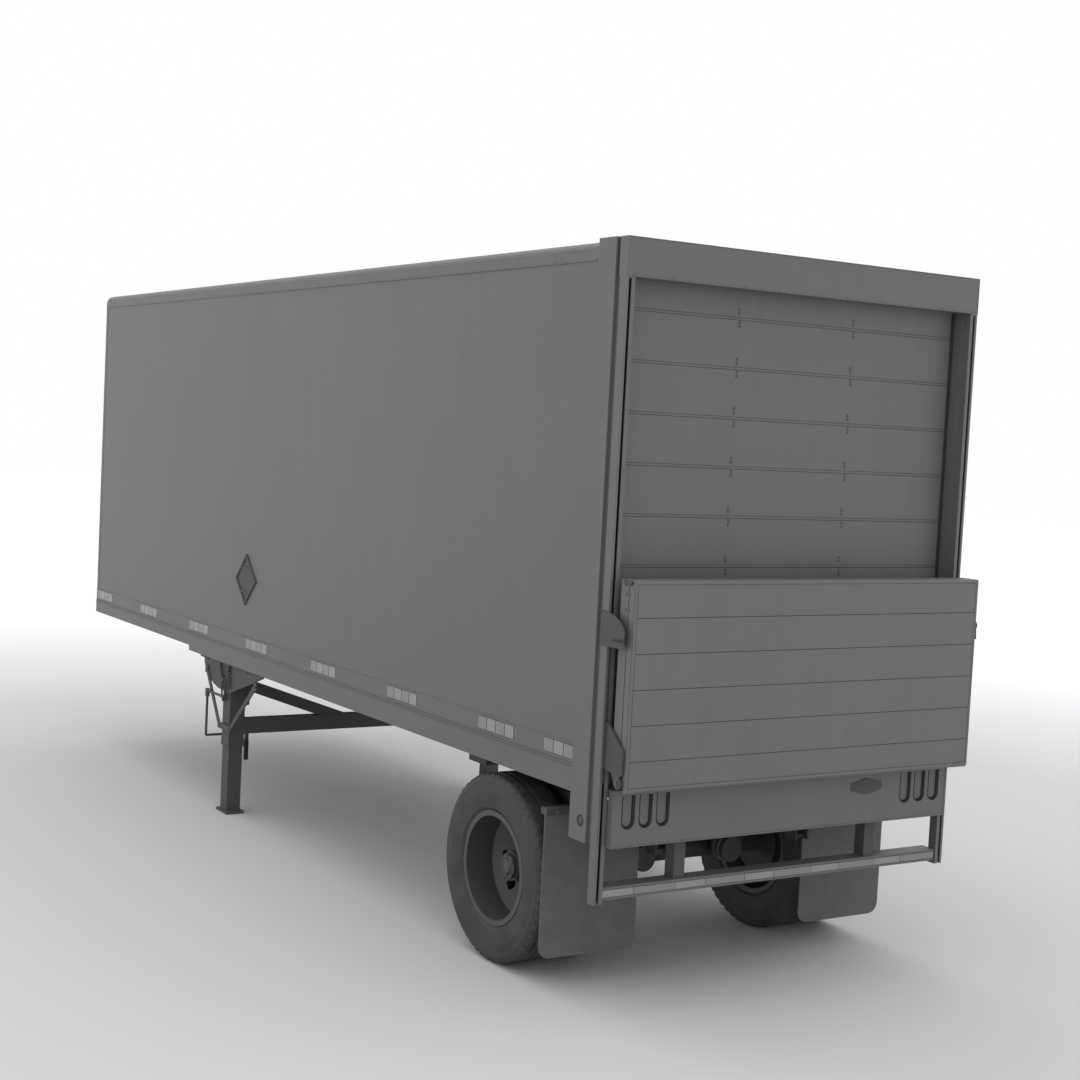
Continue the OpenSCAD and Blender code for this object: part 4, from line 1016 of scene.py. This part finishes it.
def landingGearTrim():
    sizes = gearSizes
    grip, chains, cases, bolts = bmesh.new(), bmesh.new(), bmesh.new(), []
    # ribbed grip on the crank's end
    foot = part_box("leg_crank")[0].z
    profile = [(0.001, 0.0), (0.001, 0.016)]
    for k in range(sizes["gripRibs"]):
        profile += [(0.006 + k * sizes["ribPitch"] + up, radius) for up, radius in sizes["gripRib"]]
    place = (sizes["gripPlace"][0], legY + sizes["gripPlace"][1], 0)
    addSpun(grip, profile + [sizes["gripTop"]], place, "Z", 20, start=foot)
    fromMesh("crankGrip", grip, "gasketAndShadeBlack")
    # two chains on the left gusset and the ring that holds the crank
    hang = -(gussetX + 0.0135)
    for (y, z), (lowY, lowZ), sag in sizes["chains"]:
        addChain(chains, (hang, legY + y, z), (hang, legY + lowY, lowZ), sag)
    for (y, _), _, _ in sizes["chains"]:
        addSpun(chains, sizes["eye"], (0, legY + y, sizes["eyeZ"]), steps=12, start=gussetX, side=-1)
    (y, z), (reachY, reachZ) = sizes["ringPlace"], sizes["ringReach"]
    addPipe(chains, [(hang, legY + y + reachY * math.cos(t), z + reachZ * math.sin(t))
                     for t in (2 * math.pi * k / 24 for k in range(25))], sizes["ringRadius"], 10)
    fromMesh("gearChains", chains, "darkSteel")
    for side in sides:
        x, (low, high) = side * sizes["caseX"], sizes["caseZ"]
        addBox(cases, (x - side * sizes["caseReach"], legY - sizes["caseHalf"], low),
               (x, legY + sizes["caseHalf"], high), 0.008, 2)
        bolts += [((side * (gussetX + out), legY + y, z), (side, 0, 0)) for out, y, z in sizes["boltSpots"]]
    fromMesh("legGearCases", cases, "framePaint")
    fastened("gearBolts", bolts, sizes["bolt"])


landingGearTrim()
print("landing gear trimmed")


# suspension, brakes and what hangs under the floor

underSizes = {
    "uBoltRadius": 0.009, "springIn": 0.048, "uBoltSpread": (0.043, 0.045), "clampUp": 0.172,
    "clampNut": ((0.0, 0.0), (0.0, 0.017), (0.014, 0.017), (0.014, 0.0)), "clipLifts": (0.5, 1.5),
    "chamberIn": 0.078, "bands": (0.045, 0.085), "band": ((-0.008, 0.0785), (-0.006, 0.084), (0.006, 0.084),
                                                         (0.008, 0.0785)),
    # brake pipe: in from the chamber, forward of its back end, above the hub
    "brakePipe": ((0.0, 0.02, 0.1), (0.0, -0.02, 0.2), (0.04, -0.02, 0.42)), "pipeTop": (0.1, 1.05),
    "brakePipeRadius": 0.009, "airPipeX": (-0.012, 0.012), "airPipeZ": (1.169, 1.19), "airPipeRadius": 0.008,
    "flapInner": 0.625, "flapBolts": 5, "flapBolt": (0.009, 0.007, 0.85, 0.013, 6), "barThick": 0.004,
    "barDrop": (0.046, 0.027, 0.008), "tankUp": 0.118, "tankBandX": 0.2,
    "tankBand": ((-0.02, 0.1175), (-0.02, 0.121), (0.02, 0.121), (0.02, 0.1175)),
    "tankEnd": ((-0.01, 0.1178), (-0.01, 0.1195), (-0.004, 0.1195), (-0.004, 0.1178))}


def suspensionTrim():
    sizes = underSizes
    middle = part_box("leaf_springs")[1].x - sizes["springIn"]
    halfX, halfY = sizes["uBoltSpread"]
    hoops, clips = bmesh.new(), bmesh.new()
    top, radius = hubZ + sizes["clampUp"], sizes["uBoltRadius"]
    for side in sides:
        legs = [side * (middle - halfX), side * (middle + halfX)]
        for y in (hubY - halfY, hubY + halfY):
            for x in legs:
                addPipe(hoops, [(x, y, hubZ - 0.075), (x, y, top + 0.03)], radius)
                addSpun(hoops, sizes["clampNut"], (x, y, 0), "Z", 6, start=top)
            addPipe(hoops, [(x, y, hubZ - 0.072) for x in legs], radius)
        for lift in sizes["clipLifts"]:
            y = hubY - 0.3 + 0.08 * lift
            addBox(clips, (side * middle - 0.041, y, hubZ + 0.118 + 0.014 * lift),
                   (side * middle + 0.041, y + 0.04, hubZ + 0.13 + 0.02 * lift), 0.002, 1)
    fromMesh("springUBolts", hoops, "darkSteel")
    fromMesh("springClips", clips, "darkSteel")


def brakeTrim():
    sizes = underSizes
    chamberLow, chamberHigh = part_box("brake_chambers")
    x, back = chamberHigh.x - sizes["chamberIn"], chamberLow.y
    bands, pipes = bmesh.new(), bmesh.new()
    for side in sides:
        for forward in sizes["bands"]:
            centre = (side * x, 0, hubZ + 0.03)
            addSpun(bands, sizes["band"], centre, "Y", 36, closed=True, start=back + forward)
        path = [(side * (x + into), back + forward, hubZ + up) for into, forward, up in sizes["brakePipe"]]
        into, z = sizes["pipeTop"]
        addPipe(pipes, path + [(side * (x + into), back, z)], sizes["brakePipeRadius"])
    z, endZ = sizes["airPipeZ"]
    for x in sizes["airPipeX"]:
        path = [(x, hubY + 0.4, z), (x, frontY - 0.3, z), (x, frontY - 0.2, endZ)]
        addPipe(pipes, path, sizes["airPipeRadius"], 8)
    fromMesh("brakeBands", bands, "boltZinc")
    fromMesh("airPipes", pipes, "gasketAndShadeBlack")


def flapTrim():
    sizes = underSizes
    flapLow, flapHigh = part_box("mud_flaps")
    low, middle, high = (flapHigh.z - drop for drop in sizes["barDrop"])
    y = flapLow.y - sizes["barThick"]
    bars, bolts = bmesh.new(), []
    for side in sides:
        inner, outer = side * sizes["flapInner"], side * (flapHigh.x - 0.012)
        addBox(bars, (inner, y, low), (outer, flapLow.y, high), 0.001, 1)
        for k in range(sizes["flapBolts"]):
            x = inner + (outer - inner) * (k + 0.5) / sizes["flapBolts"]
            bolts.append(((x, y, middle), (0, -1, 0)))
    fromMesh("flapClampBars", bars, "framePaint")
    fastened("flapBolts", bolts, sizes["flapBolt"])


def underfloorTrim():
    # bands round the air tank, doors and handles of the power box
    sizes = underSizes
    tankLow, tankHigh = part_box("air_tank")
    boxLow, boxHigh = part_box("lift_power_box")
    middle = (0, (tankLow.y + tankHigh.y) / 2, tankLow.z + sizes["tankUp"])
    bands, doors = bmesh.new(), bmesh.new()
    for x in (-sizes["tankBandX"], sizes["tankBandX"]):
        addSpun(bands, sizes["tankBand"], middle, steps=40, closed=True, start=x)
    for side in sides:
        addSpun(bands, sizes["tankEnd"], middle, steps=40, closed=True, start=tankHigh.x, side=side)
        face, door, grip = (side * boxHigh.x + side * out for out in (0, 0.006, 0.016))
        back, foot = boxLow.y, boxLow.z
        addBox(doors, (face, back + 0.02, foot + 0.02), (door, boxHigh.y - 0.02, boxHigh.z - 0.03), 0.004)
        addBox(doors, (door, back + 0.19, foot + 0.06), (grip, back + 0.23, foot + 0.11), 0.003)
    fromMesh("tankBands", bands, "framePaint")
    fromMesh("powerBoxDoors", doors, "framePaint")


noseSizes = {
    "lids": ((0.0, 0.04), (-0.11, 0.032), (0.11, 0.032)),  # across, half width
    "lidThick": 0.012, "lidLength": 0.03, "lidBack": 0.034,
    "boltX": 0.155, "boltZ": 0.045, "bolt": (0.007, 0.005, 0.85, 0.01, 6), "lampZ": 3.95,
    "lampX": (-1.15, -0.15, 0.0, 0.15, 1.15),
    "lamp": ((0.0, 0.021), (0.004, 0.021), (0.006, 0.019), (0.01, 0.013), (0.0115, 0.0))}


def noseTrim():
    # covers of the socket and air couplings, and a row of lamps along the nose
    sizes = noseSizes
    serviceLow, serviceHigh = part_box("service_box")
    y, z = serviceHigh.y - sizes["lidBack"], (serviceLow.z + serviceHigh.z) / 2
    lids, lamps, bolts = bmesh.new(), bmesh.new(), []
    for x, reach in sizes["lids"]:
        thick = sizes["lidThick"]
        addPlate(lids, [(-reach, 0.0), (reach, 0.0), (reach, thick), (-reach, thick)], sizes["lidLength"],
                 lambda u, v, w, x=x, reach=reach: (x + u, y + w, z + reach * 0.95 + v), 0.002)
    for side in sides:
        for up in (-sizes["boltZ"], sizes["boltZ"]):
            bolts.append(((side * sizes["boltX"], serviceLow.y + 0.022, z + up), (0, 1, 0)))
    for x in sizes["lampX"]:
        addSpun(lamps, sizes["lamp"], (x, 0, sizes["lampZ"]), "Y", 24, start=frontY)
    fromMesh("couplingLids", lids, "boltZinc")
    fromMesh("noseLamps", lamps, "lampLens")
    fastened("serviceBolts", bolts, sizes["bolt"])


suspensionTrim()
brakeTrim()
flapTrim()
underfloorTrim()
noseTrim()
print("underside and nose trimmed")


# floor, light and camera

stageSizes = {
    "floorRadius": 70.0, "floorDrop": 0.001, "floorGrey": 0.62, "fadeStart": 6.5, "fadeEnd": 13.0,
    "sky": 1.0,
    # place, what it points at, size and power
    "lights": {"softboxRear": ((-12.0, rearY - 13.0, 9.0), (0, rearY, 2.0), 9.0, 60),
               "softboxTop": ((0, 0, 14.0), (0, 0, 0), 14.0, 520)}}


def floorMaterial(sizes):
    # a painted studio floor that brightens into the backdrop away from the trailer
    material = bpy.data.materials.new("studioFloor")
    material.use_nodes = True
    tree = material.node_tree
    place = objectPlace(tree)
    level = sizes["floorGrey"]
    color = blended(tree, noiseOf(tree, place, 0.6, 3), grey(level), grey(level * 0.985))
    reach = put(tree, "ShaderNodeVectorMath", {0: place}, operation="LENGTH").outputs["Value"]
    fade = ranged(tree, reach, sizes["fadeStart"], sizes["fadeEnd"])
    shader = tree.nodes["Principled BSDF"].inputs
    tree.links.new(blended(tree, fade, color, grey(0.0)), shader["Base Color"])
    tree.links.new(fade, shader["Emission Strength"])
    for key, value in (("Emission Color", (1, 1, 1, 1)), ("Roughness", 0.9), ("Specular IOR Level", 0.1)):
        shader[key].default_value = value
    return material


def makeStage(sizes):
    mesh = bmesh.new()
    bmesh.ops.create_circle(mesh, cap_ends=True, segments=96, radius=sizes["floorRadius"],
                            matrix=Matrix.Translation((0, 0, -sizes["floorDrop"])))
    data = bpy.data.meshes.new("studioFloor")
    mesh.to_mesh(data)
    mesh.free()
    data.materials.append(floorMaterial(sizes))
    floor = bpy.data.objects.new("studioFloor", data)
    bpy.context.scene.collection.objects.link(floor)


def makeLight(sizes):
    world = bpy.data.worlds.new("studio")
    bpy.context.scene.world = world
    world.use_nodes = True
    background = world.node_tree.nodes["Background"].inputs
    background["Color"].default_value = (1, 1, 1, 1)
    background["Strength"].default_value = sizes["sky"]
    for name, (place, aim, size, power) in sizes["lights"].items():
        light = bpy.data.lights.new(name, "AREA")
        light.shape = "DISK"
        light.size = size
        light.energy = power
        lamp = bpy.data.objects.new(name, light)
        lamp.location = place
        lamp.rotation_euler = (Vector(aim) - Vector(place)).to_track_quat("-Z", "Y").to_euler()
        bpy.context.scene.collection.objects.link(lamp)


cameraSizes = {"place": (-6.4248, rearY - 7.4248, 3.0999), "yaw": 0.565385, "pitch": -0.063567,
               "roll": 0.051139, "viewAngle": 0.600672, "clipEnd": 300.0}


def makeCamera(sizes):
    yaw, pitch, roll = sizes["yaw"], sizes["pitch"], sizes["roll"]
    forward = Vector((math.sin(yaw) * math.cos(pitch), math.cos(yaw) * math.cos(pitch), math.sin(pitch)))
    level = forward.cross(Vector((0, 0, 1))).normalized()
    above = level.cross(forward)
    right = math.cos(roll) * level + math.sin(roll) * above
    up = -math.sin(roll) * level + math.cos(roll) * above
    data = bpy.data.cameras.new("camera")
    data.sensor_width = 36.0
    data.angle = sizes["viewAngle"]
    data.clip_end = sizes["clipEnd"]
    camera = bpy.data.objects.new("camera", data)
    rows = [(right[i], up[i], -forward[i], sizes["place"][i]) for i in range(3)]
    camera.matrix_world = Matrix((*rows, (0, 0, 0, 1)))
    bpy.context.scene.collection.objects.link(camera)
    bpy.context.scene.camera = camera


makeStage(stageSizes)
makeLight(stageSizes)
makeCamera(cameraSizes)
bpy.context.scene.view_settings.view_transform = "Standard"
print("stage set")
